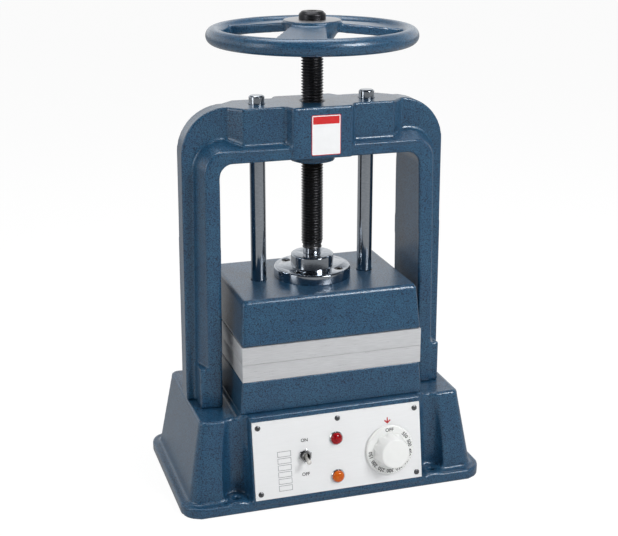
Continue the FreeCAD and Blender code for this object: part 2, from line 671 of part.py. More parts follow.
def press_screw():
    """The screw: journal, neck, threaded length, land and wheel shank, with a cut keyway."""
    land_low = s.thread_high - s.thread_land
    outline = [(0, disc_top), (s.journal_radius, disc_top), (s.journal_radius, collar_top),
               (s.neck_radius, collar_top), (s.neck_radius, s.thread_low),
               (s.thread_root, s.thread_low + 1), (s.thread_root, land_low - 1),
               (s.thread_radius, land_low), (s.thread_radius, s.thread_high),
               (s.wheel_shank, s.thread_high), (s.wheel_shank, s.wheel_hub_top),
               (s.stud_radius + s.fit_gap, s.wheel_hub_top),
               (s.stud_radius + s.fit_gap, s.wheel_hub_top - s.stud_length - 1),
               (0, s.wheel_hub_top - s.stud_length - 1)]
    core = Part.makePolygon([FreeCAD.Vector(dim(r).value, 0, dim(z).value)
                             for r, z in outline + outline[:1]])
    core = Part.Face(core).revolve(FreeCAD.Vector(), FreeCAD.Vector(0, 0, 1), 360)
    low = s.thread_low.value + THREAD_START
    count = int((land_low.value + 1 - low) / (THREAD_TURNS * s.thread_pitch.value))
    threads = ridges((s.thread_root - s.thread_sink).value, s.thread_radius.value, s.thread_base.value,
                     s.thread_crest.value, low, count)
    key = Part.makeBox(s.key_side.value, s.key_side.value, s.key_length.value,
                       FreeCAD.Vector(-s.key_side.value / 2, s.key_depth.value, key_low.value))
    key.rotate(FreeCAD.Vector(), FreeCAD.Vector(0, 0, 1), wheel_turn.value)
    thing = doc.addObject("Part::Feature", "Body_press_screw")
    thing.Shape = core.fuse(threads).cut(key)
    return keep(thing, "press_screw")


def screw_nut():
    """The bronze nut in the bridge. Its bore clears the crests of the screw's thread."""
    turned("screw_nut", [
        (s.thread_radius + s.thread_gap, boss_low), (s.nut_radius, boss_low),
        (s.nut_radius, s.nut_top), (s.thread_radius + s.thread_gap, s.nut_top)])


# Thrust bearing between the screw and the head

def flange_screw_spots():
    """Four screws on a circle, halfway between the axes."""
    step = s.flange_bolt_circle * round(math.sqrt(0.5), 6)
    return [(sx * step, sy * step) for sx, sy in corners]


def thrust_pieces():
    """The flange that lifts the head, the collar inside it and the disc the screw presses on."""
    cavity, edge = s.collar_radius + 0.5, s.bearing_edge
    roof = collar_top + s.collar_gap
    flange = turned("thrust_flange", [
        (cavity, head_top), (s.flange_radius, head_top), (s.flange_radius, flange_top - edge),
        (s.flange_radius - edge, flange_top), (s.hub_radius, flange_top),
        (s.hub_radius, hub_top - edge), (s.hub_radius - edge, hub_top),
        (s.neck_radius + s.running_gap, hub_top), (s.neck_radius + s.running_gap, roof),
        (cavity, roof)])
    seat = flange_top - s.flange_screw_sink
    for x, y in flange_screw_spots():
        hole(flange, x, y, s.head_screw_radius + s.fit_gap, head_top - 1, flange_top + 1)
        hole(flange, x, y, s.cap_screw_head + 0.5, seat, flange_top + 1)
    group("flange_screws", [
        bolt(x, y, seat, head_top - s.flange_screw_depth, s.head_screw_radius, s.cap_screw_head,
             s.cap_screw_height, s.cap_screw_socket) for x, y in flange_screw_spots()])
    turned("thrust_disc", [(0, head_top), (s.collar_radius, head_top),
                           (s.collar_radius, disc_top), (0, disc_top)])
    collar = turned("thrust_collar", [
        (s.journal_radius + s.fit_gap, disc_top), (s.collar_radius, disc_top),
        (s.collar_radius, collar_top), (s.journal_radius + s.fit_gap, collar_top)])
    middle_height = (disc_top + collar_top) / 2
    pin = new_body("collar_pin")
    disc(pin, 0, middle_height, s.pin_radius, s.journal_radius + 0.1, s.collar_radius - 0.2,
         "YZ_Plane")
    hole(collar, 0, middle_height, s.pin_radius + s.fit_gap, s.journal_radius - 1,
         s.collar_radius + 1, "YZ_Plane")


# Head and lower block, with what each holds

def screw_spots():
    return [(sx * head_screw_x, sy * head_screw_y) for sx, sy in corners]


def flat_screw(x, y, face, up, extra=0.0):
    """A countersunk screw whose head is flush with a platen's face and points up or down."""
    radius, head = s.head_screw_radius + extra, s.head_screw_head + extra
    tip = dim(face) + up * s.head_screw_length
    cone_height = s.head_screw_head - s.head_screw_radius
    cone = doc.addObject("Part::Cone", "Cone")
    bind(cone, "Radius1", head if up > 0 else radius)
    bind(cone, "Radius2", radius if up > 0 else head)
    bind(cone, "Height", cone_height)
    place(cone, x, y, face if up > 0 else dim(face) - cone_height)
    low, high = (face, tip) if up > 0 else (tip, face)
    body = fuse(cylinder(radius, low, high, x, y), cone)
    if extra:
        return body
    tool = doc.addObject("Part::Prism", "Socket")
    tool.Polygon = 6
    depth = cone_height * 0.7
    bind(tool, "Circumradius", s.head_screw_radius * 0.67)
    bind(tool, "Height", depth + 1)
    place(tool, x, y, dim(face) - 1 if up > 0 else dim(face) - depth)
    return cut(body, tool)


def platen(name, low, face, up):
    """An aluminium plate with countersunk holes for its four screws."""
    block = box(-s.platen_half_x, s.platen_half_x, -s.platen_half_y, s.platen_half_y,
                low, dim(low) + s.platen_thick)
    keep(cut(block, *[flat_screw(x, y, face, up, 0.2) for x, y in screw_spots()]), name)
    group(name + "_screws", [flat_screw(x, y, face, up) for x, y in screw_spots()])


def platen_block(name, low, high, low_half, high_half, platen_side):
    """A painted casting with draft, hollowed on its platen side (1 above, -1 below)."""
    body = new_body(name)
    edge, inset = ((s.head_edge, s.head_bevel) if platen_side < 0
                   else (s.rim_bevel, s.rim_bevel))
    shoulder = high - edge
    share = (shoulder - low) / (high - low)
    mid = [low_half[i] + (high_half[i] - low_half[i]) * share for i in (0, 1)]
    loft(body, lambda k: rounded(k, *low_half, s.head_edge), low,
         lambda k: rounded(k, *mid, s.head_edge), shoulder)
    loft(body, lambda k: rounded(k, *mid, s.head_edge), shoulder,
         lambda k: rounded(k, high_half[0] - inset, high_half[1] - inset, s.head_edge), high)
    face = high if platen_side > 0 else low
    span = [face - platen_side * s.pocket_depth, face + platen_side]
    pocket(body, "XY_Plane", rectangle(s.platen_half_x - s.head_wall,
                                       s.platen_half_y - s.head_wall), *span[::platen_side])
    reach = s.head_screw_length - s.platen_thick + 1
    span = [face - platen_side * reach, face + platen_side]
    for x, y in screw_spots():
        hole(body, x, y, s.head_screw_radius + s.fit_gap, *span[::platen_side])
    return body


def heater_set(prefix, platen_face, up):
    """Two strip heaters against the platen and an insulating board behind them."""
    far = dim(platen_face) + up * s.heater_thick
    back = dim(platen_face) + up * s.pocket_depth
    low, high = (dim(platen_face), far) if up > 0 else (far, dim(platen_face))
    strips = []
    for sy in (-1, 1):
        strips.append(box(-s.heater_half_x, s.heater_half_x, sy * s.heater_y - s.heater_width / 2,
                          sy * s.heater_y + s.heater_width / 2, low, high))
    group(prefix + "_heaters", strips)
    low, high = (far, back) if up > 0 else (back, far)
    board_x = s.platen_half_x - s.head_wall - 1
    board_y = s.platen_half_y - s.head_wall - 1
    keep(box(-board_x, board_x, -board_y, board_y, low, high), prefix + "_insulation")


def head_pieces():
    """The moving head: painted block, platen, heaters, board and the lead's gland."""
    block = platen_block("upper_platen_block", head_low, head_top,
                         (s.platen_half_x, s.platen_half_y), (s.head_half_x, s.head_half_y), -1)
    for sx in (-1, 1):
        hole(block, sx * s.rod_x, 0, s.rod_radius + s.fit_gap, s.rod_foot, head_top + 1)
    for x, y in flange_screw_spots():
        hole(block, x, y, s.head_screw_radius + s.fit_gap, head_top - s.flange_screw_depth - 1,
             head_top + 1)
    hole(block, s.head_gland_x, s.head_gland_height, s.head_gland_radius,
         s.head_half_y - s.head_wall - 1, s.platen_half_y + 2, "XZ_Plane")
    heater_set("upper", head_low, 1)
    platen("upper_platen", upper_platen_low, upper_platen_low, 1)


def lower_pieces():
    """The fixed block on the base, its platen, heaters and board."""
    block = platen_block("lower_platen_block", s.console_top, s.lower_platen_low,
                         (s.pedestal_half_x - 0.5, s.pedestal_half_y - 0.5),
                         (s.platen_half_x, s.platen_half_y), 1)
    for sx, sy in corners:
        hole(block, sx * s.block_bolt_x, sy * s.block_bolt_y, s.bolt_radius + s.fit_gap,
             s.console_top - 1, s.console_top + s.block_bolt_depth)
    hole(block, 0, s.wire_hole_y, s.wire_hole_radius, s.console_top - 1, s.lower_platen_low)
    heater_set("lower", s.lower_platen_low, -1)
    platen("lower_platen", s.lower_platen_low, lower_platen_top, -1)
    group("lower_block_bolts", [bolt(sx * s.block_bolt_x, sy * s.block_bolt_y, roof_low,
                                     s.console_top + s.block_bolt_depth - 1, s.bolt_radius,
                                     s.bolt_head, s.bolt_head_height, s.bolt_socket)
                                for sx, sy in corners])


# Handwheel

def handwheel():
    """A round rim, three broad arms that widen outwards and a faced hub with a keyway."""
    body = new_body("handwheel")
    turn(body, [(s.wheel_shank + s.fit_gap, s.wheel_hub_low), (s.hub_foot_radius, s.wheel_hub_low),
                (s.wheel_hub_radius - 4, s.arm_root_top - s.arm_thick),
                (s.wheel_hub_radius, s.arm_root_top), (s.wheel_hub_radius, s.wheel_hub_top),
                (s.wheel_shank + s.fit_gap, s.wheel_hub_top)])
    turn(body, lambda k: draw_circle(k, s.wheel_radius, s.wheel_height, s.rim_radius))
    root = new_sketch(body, "YZ_Plane", s.wheel_hub_radius - 8)
    draw_polygon(root, rectangle(s.arm_root_width / 2, s.arm_thick / 2, 0,
                                 s.arm_root_top - s.arm_thick / 2))
    tip = new_sketch(body, "YZ_Plane", s.wheel_radius - s.rim_radius / 3)
    draw_polygon(tip, rectangle(s.arm_tip_width / 2, s.arm_thick / 2, 0,
                                s.arm_tip_top - s.arm_thick / 2))
    arm = body.newObject("PartDesign::AdditiveLoft", "Arm")
    arm.Profile = root
    arm.Sections = [tip]
    arm.Ruled = True
    arms = body.newObject("PartDesign::PolarPattern", "Arms")
    arms.Originals = [arm]
    arms.Axis = (origin_plane(body, "Z_Axis"), [""])
    arms.Angle = 360
    arms.Occurrences = 3
    body.Tip = arms
    slot = rectangle(s.key_side / 2, s.key_side / 2, 0, s.key_depth + s.key_side / 2)
    pocket(body, "XY_Plane", slot, key_low, s.wheel_hub_top + 1)
    return turn_about_z(body, wheel_turn)


def wheel_pieces():
    """The wheel, the key that drives it and the cap that holds it down."""
    handwheel()
    key = new_body("wheel_key")
    pad(key, "XY_Plane", rectangle(s.key_side / 2, s.key_side / 2, 0, s.key_depth + s.key_side / 2),
        key_low, key_low + s.key_length)
    turn_about_z(key, wheel_turn)
    cap_top = s.wheel_hub_top + s.cap_height
    turned("wheel_cap", [
        (0, s.wheel_hub_top - s.stud_length), (s.stud_radius, s.wheel_hub_top - s.stud_length),
        (s.stud_radius, s.wheel_hub_top), (s.cap_radius, s.wheel_hub_top),
        (s.cap_radius, cap_top - s.cap_chamfer), (s.cap_radius - s.cap_chamfer, cap_top),
        (s.cap_socket, cap_top), (s.cap_socket, cap_top - s.cap_socket_depth),
        (0, cap_top - s.cap_socket_depth)])


# Control plate and its fittings, drawn in the plate's frame

def control_plate():
    """The printed plate: a thin sheet with holes for the lamps, switch, knob stem and screws."""
    body = new_body("control_plate")
    pad(body, "XY_Plane", rectangle(s.plate_half_x, s.plate_half_y), 0, s.plate_thick)
    openings = [(s.lamp_x, s.power_lamp_v, s.lamp_body_radius + 0.2),
                (s.lamp_x, s.heat_lamp_v, s.lamp_body_radius + 0.2),
                (s.switch_x, s.switch_v, s.bushing_radius + 0.1),
                (s.knob_x, s.knob_v, s.stem_radius + 1.5)]
    openings += [(x, v, s.small_radius + 0.2) for x, v in plate_screw_spots()]
    for x, v, radius in openings:
        hole(body, x, v, radius, -1, s.plate_thick + 1)
    on_panel(body)


def plate_screw_spots():
    return [(sx * s.screw_x, sv * s.screw_v) for sx, sv in corners] + [(dim(0), s.screw_v)]


def dome_screw(x, v):
    """A low round-headed screw with a cross slot."""
    radius = s.screw_head * 1.6
    ball = doc.addObject("Part::Sphere", "Dome")
    bind(ball, "Radius", radius)
    place(ball, x, v, s.plate_thick + s.dome_rise - radius)
    keep_high = cylinder(s.screw_head, s.plate_thick, s.plate_thick + 3, x, v)
    dome = doc.addObject("Part::Common", "DomeCap")
    dome.Base = ball
    dome.Tool = keep_high
    shank = cylinder(s.small_radius, -s.small_length, s.plate_thick + 0.4, x, v)
    arm, half, floor = s.screw_head * 0.6, s.slot_half, s.plate_thick + s.slot_floor
    bars = [box(x - arm, x + arm, v - half, v + half, floor, s.plate_thick + 3),
            box(x - half, x + half, v - arm, v + arm, floor, s.plate_thick + 3)]
    return cut(fuse(dome, shank), *bars)


def lamp(prefix, v):
    """An indicator lamp: bezel, domed lens and the body that passes through the plate."""
    face = s.plate_thick
    seat, front, mouth = face + s.lens_seat, face + s.bezel_height, s.lens_radius + 0.05
    bezel = turned(prefix + "_bezel", [
        (s.lamp_body_radius, face), (s.bezel_radius, face),
        (s.bezel_radius, front - s.bezel_edge), (s.bezel_radius - s.bezel_edge, front),
        (mouth, front), (mouth, seat), (s.lamp_body_radius, seat)])
    dome = face + s.lens_height
    lens = turned(prefix + "_lens", [
        (0, seat), (s.lens_radius, seat), (s.lens_radius, face + s.lens_height * 0.5),
        (s.lens_radius * 0.86, face + s.lens_height * 0.76),
        (s.lens_radius * 0.55, face + s.lens_height * 0.94), (0, dome)])
    back, waist = -s.lamp_body_length, s.lamp_body_radius - 1
    holder = turned(prefix + "_body", [
        (0, back), (waist, back), (waist, -s.lamp_waist), (s.lamp_body_radius, -s.lamp_waist),
        (s.lamp_body_radius, seat), (0, seat)])
    for sx in (-1, 1):
        blade = rectangle(s.blade_half, s.lamp_body_radius * 0.4, sx * s.lamp_body_radius * 0.4, 0)
        pad(holder, "XY_Plane", blade, back - s.blade_length, back)
    ring = turned(prefix + "_nut", [
        (s.lamp_body_radius + s.fit_gap, -s.nut_depth), (s.bezel_radius, -s.nut_depth),
        (s.bezel_radius, 0), (s.lamp_body_radius + s.fit_gap, 0)])
    for piece in (bezel, lens, holder, ring):
        move_on_panel(piece, s.lamp_x, v)


def switch_pieces():
    """The toggle switch: body with bushing, dress nut and the lever that tips in it."""
    body = new_body("switch_body")
    width, height, depth = s.switch_half_x, s.switch_half_y, s.switch_depth
    pad(body, "XY_Plane", rectangle(width, height), -depth, -s.washer_thick)
    disc(body, 0, 0, s.bushing_radius, -s.washer_thick - 1, s.bushing_length)
    hole(body, 0, 0, s.bushing_bore, -s.lever_reach, s.bushing_length + 1)
    pocket(body, "XY_Plane", rectangle(width - s.washer_thick, height * 0.7), -depth * 0.7,
           -depth * 0.2)
    for sv in (-1, 0, 1):
        pad(body, "XY_Plane", rectangle(width * 0.35, s.blade_half, 0, sv * s.pole_pitch),
            -depth - s.blade_length, -depth)
    washer = turned("switch_washer", [
        (s.bushing_radius + s.fit_gap, -s.washer_thick), (s.switch_nut_radius - 1, -s.washer_thick),
        (s.switch_nut_radius - 1, 0), (s.bushing_radius + s.fit_gap, 0)])
    nut = new_body("switch_nut")
    nut_top, nut_edge = s.plate_thick + s.switch_nut_height, s.bezel_edge
    turn(nut, [(s.bushing_radius + s.fit_gap, s.plate_thick), (s.switch_nut_radius, s.plate_thick),
               (s.switch_nut_radius, nut_top - nut_edge), (s.switch_nut_radius - nut_edge, nut_top),
               (s.bushing_radius + s.fit_gap, nut_top)])
    for piece in (body, washer, nut):
        move_on_panel(piece, s.switch_x, s.switch_v)
    lever = new_body("switch_lever")
    ball = s.bushing_bore - 0.35
    tip, length = s.lever_tip, s.lever_length
    turn(lever, [(0, -s.lever_reach), (s.lever_root, -s.lever_reach), (s.lever_root, -ball * 0.9),
                 (ball * 0.8, -ball * 0.6), (ball, 0), (ball * 0.8, ball * 0.6),
                 (s.lever_root * 1.2, ball * 0.95), (tip * 0.77, length - tip * 1.7),
                 (tip, length - tip * 0.73), (tip * 0.77, length - tip * 0.13), (0, length)])
    move_on_panel(lever, s.switch_x, s.switch_v, s.lever_angle)


def knob_pieces():
    """The thermostat behind the plate and the dial knob on its stem."""
    body = new_body("thermostat_body")
    disc(body, 0, 0, s.thermostat_radius, -s.thermostat_depth, -s.bracket_thick)
    hole(body, 0, 0, s.stem_radius + s.running_gap, -s.stem_reach, 1)
    pad(body, "XY_Plane", rectangle(s.bracket_half_x, s.bracket_half_y), -s.bracket_thick, 0)
    hole(body, 0, 0, s.stem_radius + s.running_gap, -s.stem_reach, 1)
    for sx in (-1, 1):
        pad(body, "XY_Plane", rectangle(s.blade_half, s.blade_half * 8, sx * s.thermostat_radius / 2),
            -s.thermostat_depth - s.blade_length, -s.thermostat_depth)
    back = s.plate_thick + s.knob_gap
    front = back + s.skirt_thick + s.grip_height
    floor, chamfer = front - s.knob_floor, s.skirt_edge / 2
    stem = turned("thermostat_stem", [(0, -s.stem_reach + 1), (s.stem_radius, -s.stem_reach + 1),
                                      (s.stem_radius, floor), (0, floor)])
    knob = new_body("thermostat_knob")
    bore = s.stem_radius + s.fit_gap
    turn(knob, [(bore, back), (s.skirt_radius, back), (s.skirt_radius, back + chamfer),
                (s.skirt_radius - s.skirt_edge, back + s.skirt_thick),
                (s.grip_radius, back + s.skirt_thick),
                (s.knob_face_radius + chamfer, front - s.skirt_edge),
                (s.knob_face_radius - chamfer, front), (0, front), (0, floor + s.fit_gap),
                (bore, floor + s.fit_gap)])
    groove = new_sketch(knob, "XY_Plane", front + 1)
    draw_circle(groove, s.groove_place, 0, s.groove_radius)
    slot = knob.newObject("PartDesign::Pocket", "Groove")
    slot.Profile = groove
    bind(slot, "Length", s.grip_height + 1)
    ring = knob.newObject("PartDesign::PolarPattern", "Grooves")
    ring.Originals = [slot]
    ring.Axis = (origin_plane(knob, "Z_Axis"), [""])
    ring.Angle = 360
    ring.Occurrences = 10
    knob.Tip = ring
    for piece in (body, stem, knob):
        move_on_panel(piece, s.knob_x, s.knob_v)


# Underside and back

def service_pieces():
    """The bottom cover with its screws, the terminal block and the two lead glands."""
    cover = new_body("bottom_cover")
    edge_x, edge_y = s.cover_half_x - s.cover_gap, s.cover_half_y - s.cover_gap
    pad(cover, "XY_Plane", rectangle(edge_x, edge_y), s.cover_inset, s.cover_thickness)
    spots = [(sx * s.cover_screw_x, sy * s.cover_screw_y) for sx, sy in corners]
    for x, y in spots:
        hole(cover, x, y, s.cover_screw_radius + 0.3, 0, s.cover_thickness + 1)
    screws = [fuse(cylinder(s.cover_screw_radius, s.cover_inset - 0.3, s.cover_screw_length, x, y),
                   cylinder(s.cover_screw_radius * 2, s.cover_inset - 0.3, s.cover_inset, x, y))
              for x, y in spots]
    group("cover_screws", screws)
    block = new_body("terminal_block")
    pad(block, "XY_Plane", rectangle(s.terminal_half_x, s.terminal_half_y, s.terminal_x, 0),
        s.cover_thickness, s.cover_thickness + s.terminal_height)
    for i in range(round((2 * s.terminal_half_x / s.terminal_pitch).value)):
        x = s.terminal_x - s.terminal_half_x + s.terminal_pitch * (i + 0.5)
        hole(block, x, 0, s.terminal_bore, s.cover_thickness + 4,
             s.cover_thickness + s.terminal_height + 1)
    gland(s.gland_radius, "cord_gland", s.gland_x, s.gland_height, base_back(s.gland_height),
          s.base_wall)
    gland(s.head_gland_radius, "head_lead_gland", s.head_gland_x, s.head_gland_height,
          head_back(s.head_gland_height), s.head_wall - 1)


def base_back(height):
    """How far back the base's sloping rear wall lies at a height."""
    rise = (height - s.foot_height + 0.5) / (s.base_top - s.foot_height + 0.5)
    return s.skirt_half_y - (s.skirt_half_y - s.shoulder_half_y) * rise


def head_back(height):
    rise = (height - head_low) / s.head_height
    return s.platen_half_y - (s.platen_half_y - s.head_half_y) * rise


def gland(radius, name, x, height, wall, depth):
    """A lead's gland in a rear wall: sleeve in the wall, hexagonal body and a domed ring."""
    body = new_body(name)
    bore = radius * 0.45
    seat = radius * 0.28
    turn(body, [(bore, -depth), (radius - s.fit_gap, -depth), (radius - s.fit_gap, seat),
                (radius * 1.35, seat), (radius * 1.35, 6), (radius * 1.2, 7), (radius * 1.2, 11),
                (radius * 0.8, 14), (bore, 14)])
    place(body, x, wall, height)
    for axis, value in (("x", 1), ("y", 0), ("z", 0)):
        bind(body, f"Placement.Rotation.Axis.{axis}", value)
    bind(body, "Placement.Rotation.Angle", -90)
    return body


# Build, check and write

base_casting()
arch_frame()
frame_pieces()
press_screw()
screw_nut()
thrust_pieces()
head_pieces()
lower_pieces()
wheel_pieces()
control_plate()
on_panel(group("plate_screws", [dome_screw(x, v) for x, v in plate_screw_spots()]))
lamp("power_lamp", s.power_lamp_v)
lamp("heat_lamp", s.heat_lamp_v)
switch_pieces()
knob_pieces()
service_pieces()

doc.recompute()
broken = [thing.Name for thing in doc.Objects
          if "Invalid" in thing.State or "Error" in thing.State]
if broken:
    raise RuntimeError(f"objects failed to recompute: {broken}")
for piece in pieces:
    shape = piece.Shape
    if shape.isNull() or not shape.isValid() or not shape.Solids:
        raise RuntimeError(f"{piece.Label} has no valid solid")

os.makedirs("parts", exist_ok=True)
for piece in pieces:
    piece.Shape.exportStep(f"parts/{piece.Label}.step")
    centre = piece.Shape.BoundBox
    print(f"{piece.Label}: {len(piece.Shape.Solids)} solids, {piece.Shape.Volume / 1000:.1f} cm3,"
          f" x {centre.XMin:.1f}..{centre.XMax:.1f} y {centre.YMin:.1f}..{centre.YMax:.1f}"
          f" z {centre.ZMin:.1f}..{centre.ZMax:.1f}")
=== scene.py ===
# %% [markdown]
# # The looks of a rubber mold vulcanizer
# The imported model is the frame: every CAD node is already in its place, in metres, and rides
# on its body. This file only dresses it. The castings become soft-edged painted iron, the
# bright parts get their machined edges, and the control plate gets its print.

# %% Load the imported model
import math

import bmesh
import bpy
import numpy as np
from mathutils import Matrix, Vector


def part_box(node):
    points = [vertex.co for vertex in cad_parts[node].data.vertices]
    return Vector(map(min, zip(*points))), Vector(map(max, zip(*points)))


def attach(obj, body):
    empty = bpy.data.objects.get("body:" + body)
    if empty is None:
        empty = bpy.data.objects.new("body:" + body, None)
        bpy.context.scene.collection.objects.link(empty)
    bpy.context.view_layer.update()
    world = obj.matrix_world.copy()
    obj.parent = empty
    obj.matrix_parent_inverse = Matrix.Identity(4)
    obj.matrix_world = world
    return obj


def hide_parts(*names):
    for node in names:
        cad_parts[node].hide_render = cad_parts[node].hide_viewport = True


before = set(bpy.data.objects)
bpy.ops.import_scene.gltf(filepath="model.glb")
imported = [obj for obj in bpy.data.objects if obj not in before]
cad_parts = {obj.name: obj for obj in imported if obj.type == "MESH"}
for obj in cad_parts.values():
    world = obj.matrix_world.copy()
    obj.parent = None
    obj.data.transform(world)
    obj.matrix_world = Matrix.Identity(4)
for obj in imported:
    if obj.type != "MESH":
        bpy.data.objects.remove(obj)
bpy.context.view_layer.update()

MM = 0.001

# %% [markdown]
# ## The camera
# The photograph was taken from a little above the handwheel, to the left of the front. A lens
# of about 72 mm on a 36 mm wide frame gives the same mild perspective, and the camera is
# aimed at a point near the middle of the press.

# %% The camera
EYE = Vector((-451.99, -1421.76, 748.10)) * MM
AIM = Vector((-4.05, 0.0, 267.31)) * MM
camera_data = bpy.data.cameras.new("camera")
camera_data.sensor_width = 36.0
camera_data.lens = 72.28
camera = bpy.data.objects.new("camera", camera_data)
camera.location = EYE
camera.rotation_euler = (AIM - EYE).to_track_quat("-Z", "Y").to_euler()
bpy.context.collection.objects.link(camera)
bpy.context.scene.camera = camera
print("camera looks along", tuple(round(v, 3) for v in (AIM - EYE).normalized()))

# %% [markdown]
# ## Node helpers
# A material in Blender is a small graph. These helpers keep each graph short: `node` adds a
# node and sets its constants, `grain` gives a noise in object coordinates, and `ramp` turns a
# number into a colour. Object coordinates are metres, so a scale of 1000 is one cell for
# each millimetre.

# %% Node helpers
def node(tree, kind, sockets=None, **settings):
    """Add a node, set its properties and the constants of its input sockets."""
    made = tree.nodes.new(kind)
    for key, value in settings.items():
        setattr(made, key, value)
    for key, value in (sockets or {}).items():
        made.inputs[key].default_value = value
    return made


def finish(name, **sockets):
    """A material with one Principled shader. Returns the material, its tree and the shader."""
    made = bpy.data.materials.new(name)
    made.use_nodes = True
    shader = made.node_tree.nodes["Principled BSDF"]
    for key, value in sockets.items():
        shader.inputs[key.replace("_", " ")].default_value = value
    return made, made.node_tree, shader


def grain(tree, scale, stretch=(1, 1, 1), detail=2.0, rough=0.5):
    """A noise on object coordinates, drawn out along the axes whose stretch is small."""
    place = node(tree, "ShaderNodeTexCoord")
    spread = node(tree, "ShaderNodeMapping", {"Scale": stretch})
    cloud = node(tree, "ShaderNodeTexNoise",
                 {"Scale": scale, "Detail": detail, "Roughness": rough})
    tree.links.new(place.outputs["Object"], spread.inputs["Vector"])
    tree.links.new(spread.outputs["Vector"], cloud.inputs["Vector"])
    return cloud.outputs["Fac"]


def ramp(tree, number, *stops):
    """A colour for each number, from (place, (r, g, b)) stops."""
    band = node(tree, "ShaderNodeValToRGB")
    while len(band.color_ramp.elements) < len(stops):
        band.color_ramp.elements.new(0.5)
    for element, (place, colour) in zip(band.color_ramp.elements, stops):
        element.position = place
        element.color = (*colour, 1.0)
    tree.links.new(number, band.inputs["Fac"])
    return band.outputs["Color"]


def span(tree, number, low, high, start=0.0, end=1.0):
    """A number drawn from low..high onto start..end."""
    drawn = node(tree, "ShaderNodeMapRange",
                 {"From Min": low, "From Max": high, "To Min": start, "To Max": end})
    tree.links.new(number, drawn.inputs["Value"])
    return drawn.outputs["Result"]


def relief(tree, shader, number, strength, depth, under=None):
    """Bump the surface by a number, over any relief already there."""
    bump = node(tree, "ShaderNodeBump", {"Strength": strength, "Distance": depth})
    tree.links.new(number, bump.inputs["Height"])
    if under is not None:
        tree.links.new(under, bump.inputs["Normal"])
    tree.links.new(bump.outputs["Normal"], shader.inputs["Normal"])
    return bump.outputs["Normal"]


print("node helpers ready")

# %% [markdown]
# ## Hammertone paint
# The castings carry a glossy blue hammer-finish enamel. It is a paint with metal flake that
# draws into small pools as it dries: each pool is a shallow dimple a millimetre or two wide,
# lighter in the middle and dark in the seams between. A smooth Voronoi pattern has that
# shape, so it drives both the colour and the relief, and a clear coat gives the wet shine.

# %% Hammertone paint
def hammertone():
    paint, tree, shader = finish("hammertone_paint", Metallic=0.12, Roughness=0.36,
                                 Coat_Weight=0.6, Coat_Roughness=0.10)
    place = node(tree, "ShaderNodeTexCoord")
    warp = node(tree, "ShaderNodeTexNoise", {"Scale": 420.0, "Detail": 2.0})
    shift = node(tree, "ShaderNodeVectorMath", operation="MULTIPLY_ADD")
    shift.inputs[1].default_value = (0.0016,) * 3
    pools = node(tree, "ShaderNodeTexVoronoi", {"Scale": 780.0, "Smoothness": 0.5},
                 feature="SMOOTH_F1")
    tree.links.new(place.outputs["Object"], warp.inputs["Vector"])
    tree.links.new(warp.outputs["Color"], shift.inputs[0])
    tree.links.new(place.outputs["Object"], shift.inputs[2])
    tree.links.new(shift.outputs["Vector"], pools.inputs["Vector"])
    near = (0.027, 0.112, 0.212)
    main = (0.017, 0.080, 0.158)
    seam = (0.004, 0.022, 0.054)
    colour = ramp(tree, pools.outputs["Distance"], (0.15, near), (0.45, main), (0.80, seam))
    cloud = ramp(tree, grain(tree, 40.0, detail=3.0),
                 (0.35, (0.84, 0.87, 0.92)), (0.70, (1.10, 1.07, 1.04)))
    tint = node(tree, "ShaderNodeMix", data_type="RGBA", blend_type="MULTIPLY")
    tint.inputs[0].default_value = 1.0
    tree.links.new(colour, tint.inputs[6])
    tree.links.new(cloud, tint.inputs[7])
    tree.links.new(tint.outputs[2], shader.inputs["Base Color"])
    height = span(tree, pools.outputs["Distance"], 0.0, 0.8, 1.0, 0.0)
    relief(tree, shader, height, 0.5, 0.0003)
    coat = node(tree, "ShaderNodeBump", {"Strength": 0.32, "Distance": 0.0003})
    tree.links.new(height, coat.inputs["Height"])
    tree.links.new(coat.outputs["Normal"], shader.inputs["Coat Normal"])
    return paint


HAMMERTONE = hammertone()
print("paint has", len(HAMMERTONE.node_tree.nodes), "nodes")

# %% [markdown]
# ## Bright and dark metals
# Machined metal is never one grey: the tool leaves fine rings or lines, so its gloss varies
# along them. Each metal here is a metallic shader whose roughness follows a noise drawn out
# along the tool's path, with a very shallow relief from the same noise.

# %% Metals
def metal(name, colour, gloss, stretch, scale=900.0, depth=0.00003, dark=0.75, mirror=1.0):
    """A machined metal: base colour, (low, high) roughness and the run of its tool marks. A
    blasted or lacquered face scatters light, so it is less of a mirror."""
    made, tree, shader = finish(name, Metallic=mirror)
    marks = grain(tree, scale, stretch, detail=3.0, rough=0.6)
    shade = tuple(dark * part for part in colour)
    tree.links.new(ramp(tree, marks, (0.3, shade), (0.7, colour)), shader.inputs["Base Color"])
    tree.links.new(span(tree, marks, 0.25, 0.75, *gloss), shader.inputs["Roughness"])
    relief(tree, shader, marks, 0.3, depth)
    return made


